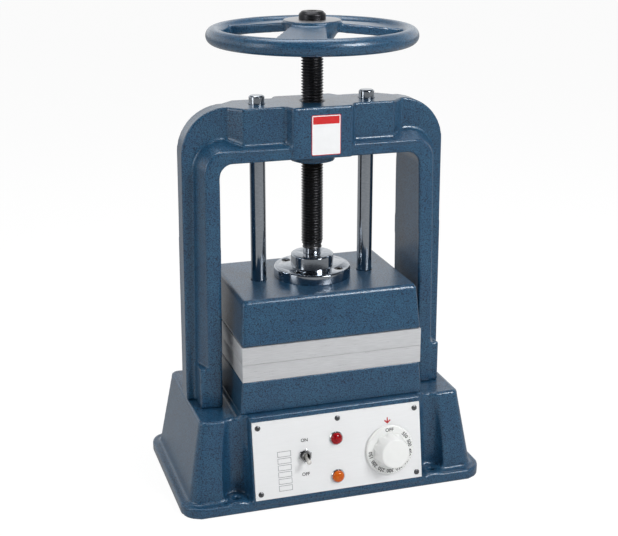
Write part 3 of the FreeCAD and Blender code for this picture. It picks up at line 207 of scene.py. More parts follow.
ROUND_MARKS = (0.25, 0.25, 1.0)
METALS = {
    "polished_steel": metal("polished_steel", (0.46, 0.50, 0.55), (0.08, 0.18), ROUND_MARKS),
    "chrome_trim": metal("chrome_trim", (0.78, 0.79, 0.81), (0.05, 0.12), (1, 1, 1), 1500.0),
    "black_oxide_steel": metal("black_oxide_steel", (0.055, 0.055, 0.060), (0.30, 0.48),
                               (1, 1, 1), 700.0, 0.00006),
    "zinc_steel": metal("zinc_steel", (0.52, 0.53, 0.55), (0.28, 0.42), (1, 1, 1)),
    "nickel_lever": metal("nickel_lever", (0.78, 0.76, 0.73), (0.16, 0.26), (1, 1, 1), 900.0,
                          0.00002, 0.9, 0.45),
    "bronze": metal("bronze", (0.60, 0.40, 0.20), (0.22, 0.36), ROUND_MARKS),
    "milled_aluminium": metal("milled_aluminium", (0.74, 0.75, 0.77), (0.26, 0.42),
                              (0.04, 0.04, 1.0), 1400.0, 0.00004, 0.84, 0.45),
    "satin_plate": metal("satin_plate", (0.92, 0.93, 0.94), (0.38, 0.50),
                         (0.03, 1.0, 1.0), 1800.0, 0.00002, 0.96, 0.25),
    "screw_head": metal("screw_head", (0.20, 0.205, 0.215), (0.30, 0.45), (1, 1, 1), 600.0),
    "plated_sheet": metal("plated_sheet", (0.55, 0.56, 0.57), (0.30, 0.45), (1, 1, 1), 250.0),
    "heater_sheath": metal("heater_sheath", (0.30, 0.29, 0.28), (0.35, 0.50), (0.1, 1, 1)),
}
print("metals", sorted(METALS))

# %% [markdown]
# ## Plastics, lenses and board
# The knob is moulded white plastic, glossy with a faint orange-peel surface. The lamp lenses
# are clear coloured plastic, so they need transmission, and their facets come later from the
# mesh. The hidden insulating board is a matt grey fibre sheet.

# %% Plastics, lenses and board
def plastic(name, colour, rough, speck, depth=0.00002):
    """Moulded plastic: a colour that wanders a little and a fine skin."""
    made, tree, shader = finish(name, Roughness=rough)
    skin = grain(tree, 1200.0, detail=2.0)
    shade = tuple(part * speck for part in colour)
    tree.links.new(ramp(tree, grain(tree, 90.0), (0.35, shade), (0.65, colour)),
                   shader.inputs["Base Color"])
    relief(tree, shader, skin, 0.15, depth)
    return made


def coloured_lens(name, colour, deep):
    """Clear dyed plastic, deeper in colour where a slow noise says it is thicker."""
    made, tree, shader = finish(name, Roughness=0.05, IOR=1.49, Transmission_Weight=0.45)
    tree.links.new(ramp(tree, grain(tree, 500.0), (0.35, deep), (0.65, colour)),
                   shader.inputs["Base Color"])
    return made


OTHERS = {
    "white_plastic": plastic("white_plastic", (0.80, 0.81, 0.80), 0.24, 0.98),
    "black_plastic": plastic("black_plastic", (0.020, 0.020, 0.022), 0.42, 0.7),
    "insulation_board": plastic("insulation_board", (0.42, 0.40, 0.37), 0.85, 0.75, 0.0002),
    "red_lens": coloured_lens("red_lens", (0.62, 0.010, 0.018), (0.34, 0.004, 0.010)),
    "amber_lens": coloured_lens("amber_lens", (0.95, 0.23, 0.018), (0.85, 0.13, 0.010)),
}
print("others", sorted(OTHERS))

# %% [markdown]
# ## Give every CAD node its finish
# The record names a material slot for each node. Assigning the new material to the slot of
# the node's object changes its looks and nothing else.

# %% Finishes on the CAD nodes
FINISHES = {"hammertone_paint": HAMMERTONE, **METALS, **OTHERS}
finish_of = {}
for name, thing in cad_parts.items():
    for place in thing.material_slots:
        slot_name = place.material.name.split(".")[0] if place.material else ""
        if slot_name in FINISHES:
            finish_of[name] = slot_name
            place.material = FINISHES[slot_name]
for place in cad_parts["plate_screws"].material_slots:
    place.material = FINISHES["screw_head"]
print("finished", len(finish_of), "of", len(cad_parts))

# %% [markdown]
# ## Mesh helpers
# Most new pieces here are one of two kinds of surface. `sheet_of` turns a grid of points into
# a mesh, joined end to end where the grid closes on itself. `spun` turns a profile about an
# axis. Both work on whole arrays, so nothing loops over the vertices.

# %% Mesh helpers
def object_of(name, mesh, material, body, smooth=30.0):
    """Link a mesh as a piece that rides on a body, smooth but for edges past an angle."""
    mesh.materials.clear()
    mesh.materials.append(material)
    piece = bpy.data.objects.new(name, mesh)
    bpy.context.collection.objects.link(piece)
    mesh.shade_smooth()
    if smooth:
        mesh.set_sharp_from_angle(angle=math.radians(smooth))
    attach(piece, body)
    return piece


def grid_faces(rows, columns, close_rows=False, close_columns=True):
    """Quads of a grid whose points are numbered row by row."""
    down = np.arange(rows if close_rows else rows - 1)
    along = np.arange(columns if close_columns else columns - 1)
    i, j = np.meshgrid(down, along, indexing="ij")
    after_i, after_j = (i + 1) % rows, (j + 1) % columns
    corners = (i * columns + j, i * columns + after_j, after_i * columns + after_j,
               after_i * columns + j)
    return np.stack(corners, axis=-1).reshape(-1, 4)


def sheet_of(name, points, close_rows=False, close_columns=True, merge=1e-7):
    """A mesh from a (rows, columns, 3) array of points, with its doubles merged."""
    rows, columns = points.shape[:2]
    mesh = bpy.data.meshes.new(name)
    mesh.from_pydata(points.reshape(-1, 3), [],
                     grid_faces(rows, columns, close_rows, close_columns).tolist())
    shape = bmesh.new()
    shape.from_mesh(mesh)
    bmesh.ops.remove_doubles(shape, verts=shape.verts, dist=merge)
    bmesh.ops.recalc_face_normals(shape, faces=shape.faces)
    shape.to_mesh(mesh)
    shape.free()
    return mesh


def spun(name, profile, around=96):
    """Turn a (radius, height) profile about Z: x = r cos(a), y = r sin(a), z = height."""
    radius, height = np.array(profile, float).T
    angle = np.linspace(0.0, 2.0 * np.pi, around, endpoint=False)
    points = np.stack([radius[:, None] * np.cos(angle), radius[:, None] * np.sin(angle),
                       np.broadcast_to(height[:, None], (len(radius), around))], axis=-1)
    return sheet_of(name, points)


def eased(profile, radius=0.4, steps=4):
    """Round each corner of a profile by a short curve: a quadratic blend between two points
    that lie a radius before and after the corner."""
    points = np.array(profile, float)
    result = [points[0]]
    blend = np.linspace(0.0, 1.0, steps)[:, None]
    for before, corner, after in zip(points, points[1:], points[2:]):
        run_in, run_out = before - corner, after - corner
        reach = min(radius, np.hypot(*run_in) / 2.5, np.hypot(*run_out) / 2.5)
        start = corner + run_in / np.hypot(*run_in) * reach
        stop = corner + run_out / np.hypot(*run_out) * reach
        result.extend((1 - blend) ** 2 * start + 2 * blend * (1 - blend) * corner
                      + blend ** 2 * stop)
    return np.array(result + [points[-1]])


def merged_copy(name, node_name):
    """A copy of a CAD node's mesh with its loose triangles joined."""
    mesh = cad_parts[node_name].data.copy()
    mesh.name = name
    shape = bmesh.new()
    shape.from_mesh(mesh)
    bmesh.ops.remove_doubles(shape, verts=shape.verts, dist=1e-6)
    shape.to_mesh(mesh)
    shape.free()
    return mesh


print("mesh helpers ready")

# %% [markdown]
# ## Castings
# Sand-cast iron has no sharp edges: every outside edge is rounded and every inside corner
# has a fillet, and thick paint softens both further. Bevelling so many meeting edges one by
# one is fragile. Instead each casting is rebuilt from its CAD solid on a fine grid of cubes,
# which gives an even skin, and the skin is relaxed. Relaxing alone would shrink the iron, so
# every pass is followed by one that pushes back a little harder. Together they round the
# edges and leave the walls where they were.

# %% Castings
RELAX, PUSH_BACK = 0.5, -0.52


def relaxed(points, edges, passes):
    """Taubin smoothing: p += factor * (mean of neighbours - p), with the factor first RELAX,
    then PUSH_BACK, for every point at once."""
    start, end = edges.T
    count = np.bincount(edges.ravel(), minlength=len(points))[:, None]
    for factor in (RELAX, PUSH_BACK) * passes:
        total = np.stack([np.bincount(start, points[end, axis], len(points))
                          + np.bincount(end, points[start, axis], len(points))
                          for axis in range(3)], axis=1)
        points = points + factor * (total / count - points)
    return points


def cast(name, node_name, body, cube, passes, material=HAMMERTONE):
    """Rebuild a CAD node on a grid of cubes and relax its skin for a number of passes."""
    mesh = merged_copy(name, node_name)
    rough = bpy.data.objects.new(name + "_rough", mesh)
    bpy.context.collection.objects.link(rough)
    skin = rough.modifiers.new("skin", "REMESH")
    skin.mode = "VOXEL"
    skin.voxel_size = cube
    seen = rough.evaluated_get(bpy.context.evaluated_depsgraph_get())
    made = bpy.data.meshes.new_from_object(seen)
    bpy.data.objects.remove(rough)
    low, high = (np.array(corner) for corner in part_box(node_name))
    points = np.array([point.co for point in made.vertices], float)
    edges = np.array([edge.vertices for edge in made.edges])
    points = np.clip(relaxed(points, edges, passes), low, high)
    made.vertices.foreach_set("co", points.ravel())
    made.update()
    piece = object_of(name, made, material, body, smooth=0)
    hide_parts(node_name)
    triangles = sum(len(face.vertices) - 2 for face in made.polygons)
    print(name, triangles, "triangles, shrunk by", np.round((points.min(0) - low) / MM, 2),
          np.round((high - points.max(0)) / MM, 2), "mm")
    return piece


CASTINGS = {
    "cast_base": ("base_casting", "stand", 2.1 * MM, 24),
    "cast_arch": ("arch_frame", "stand", 1.7 * MM, 60),
    "cast_lower_block": ("lower_platen_block", "stand", 1.6 * MM, 16),
    "cast_upper_block": ("upper_platen_block", "head", 1.8 * MM, 20),
}
for name, (node_name, body, cube, passes) in CASTINGS.items():
    cast(name, node_name, body, cube, passes)

# %% The handwheel
cast("cast_handwheel", "handwheel", "screw", 1.3 * MM, 30)

# %% [markdown]
# ## Machined pieces
# A turned or milled part keeps a crisp edge, but never a perfectly sharp one: the machinist
# breaks it with a file, and that thin chamfer catches the light. Simple turned parts are
# spun again here from a profile with eased corners. The ones with screw holes stay copies of
# their CAD solid, with their flat faces joined and a narrow bevel on every real edge.

# %% A narrow bevel for drilled pieces
def edged(name, node_name, body, finish_name, width, angle=32.0):
    """A copy of a CAD node with its flat faces joined and its edges broken by a bevel."""
    mesh = merged_copy(name + "_rough", node_name)
    shape = bmesh.new()
    shape.from_mesh(mesh)
    bmesh.ops.dissolve_limit(shape, angle_limit=math.radians(0.4), verts=shape.verts,
                             edges=shape.edges)
    shape.to_mesh(mesh)
    shape.free()
    rough = bpy.data.objects.new(name + "_rough", mesh)
    bpy.context.collection.objects.link(rough)
    bevel = rough.modifiers.new("edge", "BEVEL")
    bevel.width = width * MM
    bevel.segments = 2
    bevel.limit_method = "ANGLE"
    bevel.angle_limit = math.radians(angle)
    seen = rough.evaluated_get(bpy.context.evaluated_depsgraph_get())
    made = bpy.data.meshes.new_from_object(seen)
    bpy.data.objects.remove(rough)
    piece = object_of(name, made, FINISHES[finish_name], body, smooth=40.0)
    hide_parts(node_name)
    return piece


EDGED = {
    "milled_upper_platen": ("upper_platen", "head", "milled_aluminium", 0.5),
    "milled_lower_platen": ("lower_platen", "stand", "milled_aluminium", 0.5),
    "turned_flange": ("thrust_flange", "head", "polished_steel", 0.35),
}
for name, (node_name, body, finish_name, width) in EDGED.items():
    made = edged(name, node_name, body, finish_name, width)
    print(name, len(made.data.polygons), "faces")

# %% Guide rods
for side in ("left", "right"):
    low, high = (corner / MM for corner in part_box("guide_rod_" + side))
    radius = (high.x - low.x) / 2
    chamfer = 1.6
    profile = eased([(0, low.z), (radius, low.z), (radius, high.z - chamfer),
                     (radius - chamfer, high.z), (0, high.z)], 0.5)
    mesh = spun("ground_rod_" + side, np.array(profile) * MM)
    mesh.transform(Matrix.Translation(((low.x + high.x) / 2 * MM, 0, 0)))
    rod = object_of("ground_rod_" + side, mesh, FINISHES["polished_steel"], "head")
    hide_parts("guide_rod_" + side)
    print(rod.name, "radius", round(radius, 2), "mm")

# %% [markdown]
# ## The press screw
# Its thread is blackened, its neck below the thread is ground bright because it turns in the
# flange. The thread is a height on a cylinder: the radius depends only on how far a point is
# along the helix, z / pitch - angle / full turn. Rows of the grid follow the helix, so every
# crest is a clean line, and each turn of the strip ends where the next one starts.

# %% The press screw
PITCH = 3.5
CREST, ROOT = 13.6, 11.4
THREAD_LOW, THREAD_HIGH = 297.5, 545.0
FLANK_START, FLANK_FALL, RUN_OUT = 1.18, 1.45, 0.8
NECK, SHANK = 11.2, 9.5


def thread_strip(name, around=72, across=8):
    """A helical strip: radius = root + (crest - root) * clamp(start - fall * |2 s - 1|), where
    s is the share of the pitch, and height = pitch * (turn + s + angle / full turn). The
    thread fades to its root within a run-out at both ends."""
    turns = int((THREAD_HIGH - THREAD_LOW) / PITCH) - 1
    share = np.linspace(0.0, turns, turns * across + 1)
    angle = np.linspace(0.0, 2.0 * np.pi, around + 1)
    fall = np.abs(2.0 * (share % 1.0) - 1.0)
    rise = np.clip(FLANK_START - FLANK_FALL * fall, 0.0, 1.0)
    fade = np.clip(np.minimum(share, turns - share) / RUN_OUT, 0.0, 1.0)
    radius = (ROOT + (CREST - ROOT) * rise * fade)[:, None]
    height = THREAD_LOW + PITCH * (share[:, None] + angle[None, :] / (2.0 * np.pi))
    points = np.stack([radius * np.cos(angle), radius * np.sin(angle), height], axis=-1)
    mesh = bpy.data.meshes.new(name)
    rows, columns = points.shape[:2]
    mesh.from_pydata((points * MM).reshape(-1, 3), [],
                     grid_faces(rows, columns, close_columns=False).tolist())
    return mesh


def joined(name, meshes, merge=1e-6):
    """Put several meshes into one."""
    shape = bmesh.new()
    for mesh in meshes:
        shape.from_mesh(mesh)
    bmesh.ops.remove_doubles(shape, verts=shape.verts, dist=merge)
    bmesh.ops.recalc_face_normals(shape, faces=shape.faces)
    made = bpy.data.meshes.new(name)
    shape.to_mesh(made)
    shape.free()
    return made


def screw_finish():
    """Black oxide above the thread's start, bright ground steel below it."""
    made, tree, shader = finish("screw_steel", Metallic=1.0)
    place = node(tree, "ShaderNodeTexCoord")
    split = node(tree, "ShaderNodeSeparateXYZ")
    tree.links.new(place.outputs["Object"], split.inputs["Vector"])
    black = span(tree, split.outputs["Z"], 0.2952, 0.2956)
    marks = grain(tree, 900.0, detail=3.0)
    dark = ramp(tree, marks, (0.3, (0.050, 0.050, 0.054)), (0.7, (0.125, 0.125, 0.132)))
    bright = ramp(tree, marks, (0.3, (0.50, 0.51, 0.53)), (0.7, (0.66, 0.67, 0.69)))
    tint = node(tree, "ShaderNodeMix", data_type="RGBA")
    tree.links.new(black, tint.inputs[0])
    tree.links.new(bright, tint.inputs[6])
    tree.links.new(dark, tint.inputs[7])
    tree.links.new(tint.outputs[2], shader.inputs["Base Color"])
    tree.links.new(span(tree, black, 0.0, 1.0, 0.14, 0.34), shader.inputs["Roughness"])
    relief(tree, shader, marks, 0.2, 0.00003)
    return made


low, high = (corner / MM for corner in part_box("press_screw"))
journal = 9.0
core = [(0, low.z), (journal, low.z), (journal, 271.3), (NECK, 271.3), (NECK, THREAD_LOW - 2.2),
        (ROOT + 0.9, THREAD_LOW - 1.4), (ROOT, THREAD_LOW), (ROOT, THREAD_HIGH - 1.0),
        (CREST, THREAD_HIGH + 1.0), (CREST, 549.0), (SHANK, 549.0), (SHANK, high.z),
        (4.02, high.z), (4.02, 561.0), (0, 561.0)]
screw_mesh = joined("black_screw", [
    spun("core", np.array(eased(core, 0.3, 3)) * MM), thread_strip("thread")])
screw = object_of("black_screw", screw_mesh, screw_finish(), "screw", smooth=42.0)
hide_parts("press_screw")
print("screw", len(screw_mesh.polygons), "faces")

# %% The cap on the handwheel
low, high = (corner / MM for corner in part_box("wheel_cap"))
cap_radius, seat = high.x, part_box("handwheel")[1].z / MM
cap_edge, socket, stud = 3.6, 5.0, 4.0
profile = eased([(0, low.z), (stud, low.z), (stud, seat), (cap_radius, seat),
                 (cap_radius, high.z - cap_edge), (cap_radius - cap_edge, high.z),
                 (socket, high.z), (socket, high.z - socket), (0, high.z - socket)], 0.8)
cap = object_of("black_cap", spun("black_cap", np.array(profile) * MM),
                FINISHES["black_oxide_steel"], "screw")
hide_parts("wheel_cap")

# %% The faced top of the hub
hub_radius = 34.0
ring = [(cap_radius - 2, seat - 0.6), (hub_radius, seat - 0.6), (hub_radius, seat - 0.05),
        (hub_radius - 0.4, seat + 0.08), (cap_radius - 2, seat + 0.08)]
ring_mesh = spun("hub_face", np.array(ring) * MM)
object_of("hub_face", ring_mesh, FINISHES["zinc_steel"], "screw")
print("hub face radius", hub_radius, "mm")

# %% [markdown]
# ## The control plate's own frame
# The plate leans back, and everything on it is drawn as on a flat sheet: x to the right, v up
# the slope and w out of the plate, in millimetres, with w = 0 on its front face. One matrix
# puts such a piece on the press.

# %% The plate's frame
SLOPE = math.radians(9.53)
RIGHT = Vector((1.0, 0.0, 0.0))
UP_SLOPE = Vector((0.0, math.sin(SLOPE), math.cos(SLOPE)))
OUTWARD = Vector((0.0, -math.cos(SLOPE), math.sin(SLOPE)))
PLATE_THICK = 1.6
plate_low, plate_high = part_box("control_plate")
plate_face = (plate_low + plate_high) / 2 + OUTWARD * PLATE_THICK / 2 * MM


def plate_matrix(x=0.0, v=0.0, w=0.0, tip=0.0, turn=0.0):
    """Millimetres on the plate to metres on the press. Tip leans a piece down, turn spins it
    about the plate's normal, clockwise as the operator sees it."""
    axes = Matrix((RIGHT, UP_SLOPE, OUTWARD)).transposed().to_4x4()
    place = plate_face + (RIGHT * x + UP_SLOPE * v + OUTWARD * w) * MM
    lean = Matrix.Rotation(math.radians(tip), 4, "X")
    spin = Matrix.Rotation(math.radians(-turn), 4, "Z")
    return Matrix.Translation(place) @ axes @ lean @ spin @ Matrix.Scale(MM, 4)


def on_plate(name, mesh, finish_name, body, smooth=30.0, replaced=(), **where):
    """Place a mesh drawn in the plate's frame and ride it on a body."""
    mesh.transform(plate_matrix(**where))
    piece = object_of(name, mesh, FINISHES[finish_name], body, smooth)
    if replaced:
        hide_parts(*replaced)
    return piece


print("plate face at", [round(v / MM, 1) for v in plate_face])

# %% [markdown]
# ## The print on the plate
# The plate is screen printed. Only plain marks are drawn: ON and OFF at the switch, a red
# arrow that points at the dial, and a column of empty boxes. Each mark is a flat sheet a
# twentieth of a millimetre proud, as thick ink is.

# %% Inks
def ink(name, colour):
    """Matt screen ink with a slightly uneven film."""
    made, tree, shader = finish(name, Roughness=0.55)
    thin = tuple(min(1.0, part * 1.5 + 0.01) for part in colour)
    tree.links.new(ramp(tree, grain(tree, 700.0), (0.35, colour), (0.75, thin)),
                   shader.inputs["Base Color"])
    return made


FINISHES["black_ink"] = ink("black_ink", (0.020, 0.020, 0.024))
FINISHES["grey_ink"] = ink("grey_ink", (0.22, 0.22, 0.24))
FINISHES["red_ink"] = ink("red_ink", (0.42, 0.012, 0.018))
INK_RISE = 0.05


def lettering(name, words, height):
    """Flat letters of a given capital height in millimetres, centred on the origin."""
    curve = bpy.data.curves.new(name, "FONT")
    curve.body = words
    curve.align_x, curve.align_y = "CENTER", "CENTER"
    cap_share = 0.69
    curve.size = height / cap_share
    curve.offset = 0.035 * height
    curve.resolution_u = 4
    sign = bpy.data.objects.new(name, curve)
    bpy.context.collection.objects.link(sign)
    seen = sign.evaluated_get(bpy.context.evaluated_depsgraph_get())
    mesh = bpy.data.meshes.new_from_object(seen)
    bpy.data.objects.remove(sign)
    return mesh


def outlines(name, loops, width):
    """Flat frames: each loop of corner points is drawn as a line of the given width."""
    corners, faces = [], []
    for loop in loops:
        points = np.array(loop, float)
        centre = points.mean(axis=0)
        inner = points + np.sign(centre - points) * width
        start = len(corners)
        count = len(points)
        corners += [(*point, 0.0) for point in points] + [(*point, 0.0) for point in inner]
        faces += [(start + i, start + (i + 1) % count, start + count + (i + 1) % count,
                   start + count + i) for i in range(count)]
    mesh = bpy.data.meshes.new(name)
    mesh.from_pydata(corners, [], faces)
    return mesh


# %% ON, OFF, boxes and arrow
SWITCH_X, SWITCH_V = -43.6, 0.0
on_plate("print_on", lettering("print_on", "ON", 3.9), "black_ink", "stand", 0,
         x=SWITCH_X, v=19.2, w=INK_RISE)
on_plate("print_off", lettering("print_off", "OFF", 3.9), "black_ink", "stand", 0,
         x=SWITCH_X, v=-23.8, w=INK_RISE)

BOX_LEFT, BOX_WIDTH, BOX_TALL, BOX_TOP, BOX_STEP = -78.6, 17.2, 7.0, 8.9, 8.6
boxes = []
for row in range(6):
    top = BOX_TOP - BOX_STEP * row
    boxes.append([(BOX_LEFT, top - BOX_TALL), (BOX_LEFT + BOX_WIDTH, top - BOX_TALL),
                  (BOX_LEFT + BOX_WIDTH, top), (BOX_LEFT, top)])
on_plate("print_boxes", outlines("print_boxes", boxes, 0.6), "grey_ink", "stand", 0, w=INK_RISE)

ARROW_X, ARROW_TOP, ARROW_TIP, ARROW_HALF, STEM_HALF = 65.2, 33.9, 25.8, 4.2, 0.75
barb = ARROW_TIP + 4.6
arrow = [(-STEM_HALF, ARROW_TOP), (-STEM_HALF, ARROW_TIP + 3.2), (-ARROW_HALF + 0.6, barb + 0.8),
         (-ARROW_HALF, barb - 0.8), (0, ARROW_TIP), (ARROW_HALF, barb - 0.8),
         (ARROW_HALF - 0.6, barb + 0.8), (STEM_HALF, ARROW_TIP + 3.2), (STEM_HALF, ARROW_TOP)]
arrow_mesh = bpy.data.meshes.new("print_arrow")
arrow_mesh.from_pydata([(x, v, 0.0) for x, v in arrow], [], [tuple(range(len(arrow)))])
on_plate("print_arrow", arrow_mesh, "red_ink", "stand", 0, x=ARROW_X, w=INK_RISE)
print("print laid on the plate")

# %% [markdown]
# ## Lamps
# Each lamp has a plated bezel and a cut plastic lens. The lens is cut like a cheap gem:
# rings of points, each turned half a step against the last, joined by flat triangles.

# %% Lamps
LAMP_X = -2.8
BEZEL, LENS = 8.9, 7.5
bezel_profile = eased([(LENS - 1.1, 0.0), (BEZEL, 0.0), (BEZEL, 1.4), (BEZEL - 1.2, 2.6),
                       (LENS + 0.05, 2.6), (LENS + 0.05, 0.8), (LENS - 1.1, 0.8),
                       (LENS - 1.1, 0.0)], 0.35)


def cut_lens(name, facets=14):
    """Rings of (radius, height, turn in half steps), joined by triangles into a cut dome."""
    rings = [(LENS - 0.6, 0.8, 0), (LENS, 1.2, 0), (LENS, 3.2, 0), (LENS * 0.84, 5.2, 1),
             (LENS * 0.50, 6.3, 2), (LENS * 0.20, 6.7, 3)]
    step = 2.0 * np.pi / facets
    radius, height, half = np.array(rings, float).T
    angle = step * (np.arange(facets)[None, :] + half[:, None] / 2)
    points = np.stack([radius[:, None] * np.cos(angle), radius[:, None] * np.sin(angle),
                       np.broadcast_to(height[:, None], angle.shape)], axis=-1)
    quads = grid_faces(len(rings), facets)
    triangles = np.concatenate([quads[:, [0, 1, 3]], quads[:, [1, 2, 3]]])
    mesh = bpy.data.meshes.new(name)
    top = (len(rings) - 1) * facets
    lids = [tuple(range(facets))[::-1], tuple(range(top, top + facets))]
    mesh.from_pydata(points.reshape(-1, 3), [], triangles.tolist() + lids)
    return joined(name, [mesh])


for lamp_name, lamp_v, lens_finish in (("power_lamp", 16.6, "red_lens"),
                                       ("heat_lamp", -31.7, "amber_lens")):
    on_plate(lamp_name + "_ring", spun(lamp_name + "_ring", bezel_profile), "chrome_trim",
             "stand", replaced=[lamp_name + "_bezel"], x=LAMP_X, v=lamp_v)
    on_plate(lamp_name + "_gem", cut_lens(lamp_name + "_gem"), lens_finish, "stand", 0,
             replaced=[lamp_name + "_lens"], x=LAMP_X, v=lamp_v)
print("two lamps")

# %% [markdown]
# ## The toggle switch
# A hexagon nut holds a threaded bushing, and a bat-shaped lever comes out of its dark bore.
# A hexagon is a circle whose radius is the flat's distance over the cosine of the angle from
# the flat's middle, so the same grid that makes round parts makes the nut.

# %% The switch
NUT_FLAT, NUT_HIGH, BUSHING, BORE, BUSHING_LONG = 7.45, 2.6, 6.0, 4.8, 6.9


def hexagon_nut(name, around=96):
    """Rings whose radius is min(flat / cos(angle from the flat's middle), chamfer radius)."""
    angle = np.linspace(0.0, 2.0 * np.pi, around, endpoint=False)
    sixth = np.pi / 3.0
    flats = NUT_FLAT / np.cos((angle + sixth / 2) % sixth - sixth / 2)
    rings = [(BUSHING, 0.0, False), (8.3, 0.0, True), (8.6, 0.25, True),
             (8.6, NUT_HIGH - 0.6, True), (NUT_FLAT, NUT_HIGH, True), (BUSHING, NUT_HIGH, False)]
    rows = [np.minimum(flats, limit) if cut else np.full(around, limit)
            for limit, _, cut in rings]
    height = np.array([ring[1] for ring in rings])[:, None]
    radius = np.array(rows)
    points = np.stack([radius * np.cos(angle), radius * np.sin(angle),
                       np.broadcast_to(height, radius.shape)], axis=-1)
    return sheet_of(name, points, close_rows=True)


on_plate("hexagon_nut", hexagon_nut("hexagon_nut"), "chrome_trim", "stand",
         replaced=["switch_nut"], x=SWITCH_X, v=SWITCH_V, turn=11.0)

RIDGES, RIDGE_STEP, RIDGE_DEEP = 5, 0.8, 0.35
ridge = []
for number in range(RIDGES):
    base = NUT_HIGH + RIDGE_STEP * number
    ridge += [(BUSHING - RIDGE_DEEP, base + 0.35), (BUSHING, base + 0.75)]
sleeve = ([(BORE, 0.2), (BUSHING + 0.02, 0.2), (BUSHING + 0.02, NUT_HIGH)] + ridge
          + [(BUSHING - 0.5, BUSHING_LONG + 0.04), (BORE, BUSHING_LONG + 0.04), (BORE, 0.2)])
on_plate("switch_bushing", spun("switch_bushing", sleeve, 64), "chrome_trim", "stand",
         x=SWITCH_X, v=SWITCH_V)

LEVER_LONG, LEVER_TIP, LEVER_ROOT, BALL, LEVER_DOWN = 21.0, 3.0, 1.6, 4.45, 13.0
lever_profile = eased([(0, -8.5), (LEVER_ROOT, -8.5), (LEVER_ROOT, -4.0), (BALL * 0.8, -2.7),
                       (BALL, 0), (BALL * 0.8, 2.7), (1.9, 4.2), (2.3, LEVER_LONG - 5.1),
                       (LEVER_TIP, LEVER_LONG - 2.2), (2.3, LEVER_LONG - 0.4),
                       (0, LEVER_LONG)], 1.0, 6)
on_plate("bat_lever", spun("bat_lever", lever_profile, 48), "nickel_lever", "lever", 0,
         replaced=["switch_lever"], x=SWITCH_X, v=SWITCH_V, w=-PLATE_THICK, tip=LEVER_DOWN)
print("switch in place")

# %% [markdown]
# ## The dial knob
# The knob is one moulding: a thin skirt with the numbers, and a tapered grip with ten hollow
# flutes for the fingers. Its surface is a grid of rings and angles. Where a flute bites, the
# ring's radius is the near side of a circle that stands outside the grip, and a soft minimum
# joins the two so that the flute's lips are round.

# %% The dial knob
KNOB_X, KNOB_V, KNOB_GAP = 66.0, -7.3, 1.2
SKIRT, SKIRT_HIGH, GRIP_LOW, GRIP_HIGH = 31.5, 3.2, 22.5, 18.3
KNOB_HIGH = SKIRT_HIGH + 20.0
FLUTES, FLUTE_PLACE, FLUTE_RADIUS = 10, 26.5, 6.0


def fluted_knob(name, around=360):
    """Rings of the profile; on the grip radius = softmin(ring, c cos(a) - sqrt(g^2 - c^2
    sin(a)^2)), with c the flute's distance, g its radius and a the angle from its middle."""
    grip = [(GRIP_LOW + (GRIP_HIGH - GRIP_LOW) * share,
             SKIRT_HIGH + (KNOB_HIGH - 1.6 - SKIRT_HIGH) * share)
            for share in np.linspace(0.0, 1.0, 14)]
    start = [(0, 17.0), (3.02, 17.0), (3.02, 0), (SKIRT - 0.5, 0), (SKIRT, 0.4), (SKIRT, 1.0),
             (SKIRT - 1.3, SKIRT_HIGH - 0.25), (SKIRT - 2.0, SKIRT_HIGH),
             (GRIP_LOW + 0.9, SKIRT_HIGH), (GRIP_LOW + 0.25, SKIRT_HIGH + 0.12)]
    end = [(GRIP_HIGH - 0.35, KNOB_HIGH - 0.75), (GRIP_HIGH - 1.1, KNOB_HIGH - 0.18),
           (GRIP_HIGH - 2.2, KNOB_HIGH), (GRIP_HIGH * 0.5, KNOB_HIGH - 0.25), (0, KNOB_HIGH - 0.3)]
    profile = np.array(start + grip + end, float)
    fluted = np.zeros(len(profile), bool)
    fluted[len(start):len(start) + len(grip)] = True
    angle = np.linspace(0.0, 2.0 * np.pi, around, endpoint=False)
    step = 2.0 * np.pi / FLUTES
    off = (angle + step / 2) % step - step / 2
    inside = FLUTE_RADIUS ** 2 - (FLUTE_PLACE * np.sin(off)) ** 2
    bite = np.where(inside > 0, FLUTE_PLACE * np.cos(off) - np.sqrt(np.maximum(inside, 0)),
                    FLUTE_PLACE + FLUTE_RADIUS)
    ring = np.broadcast_to(profile[:, :1], (len(profile), around))
    soft = 0.35
    joined_ring = -soft * np.logaddexp(-ring / soft, -bite[None, :] / soft)
    radius = np.where(fluted[:, None], joined_ring, ring)
    points = np.stack([radius * np.cos(angle), radius * np.sin(angle),
                       np.broadcast_to(profile[:, 1:], radius.shape)], axis=-1)
    return sheet_of(name, points)


knob = on_plate("white_knob", fluted_knob("white_knob"), "white_plastic", "dial", 35.0,
                replaced=["thermostat_knob"], x=KNOB_X, v=KNOB_V, w=KNOB_GAP)
print("knob", len(knob.data.polygons), "faces")

# %% Numbers round the skirt
NUMBER_RADIUS, NUMBER_HIGH, FIRST_ANGLE, ANGLE_STEP = 26.0, 4.3, 50.0, 26.6
dial_marks = [("OFF", 0.0)] + [(str(550 - 50 * number), FIRST_ANGLE + ANGLE_STEP * number)
                               for number in range(9)]
for words, turned_to in dial_marks:
    mesh = lettering("dial_" + words, words, NUMBER_HIGH)
    mesh.transform(Matrix.Translation((0, NUMBER_RADIUS, 0)))
    on_plate("dial_" + words, mesh, "black_ink", "dial", 0, x=KNOB_X, v=KNOB_V,
             w=KNOB_GAP + SKIRT_HIGH + INK_RISE, turn=turned_to)

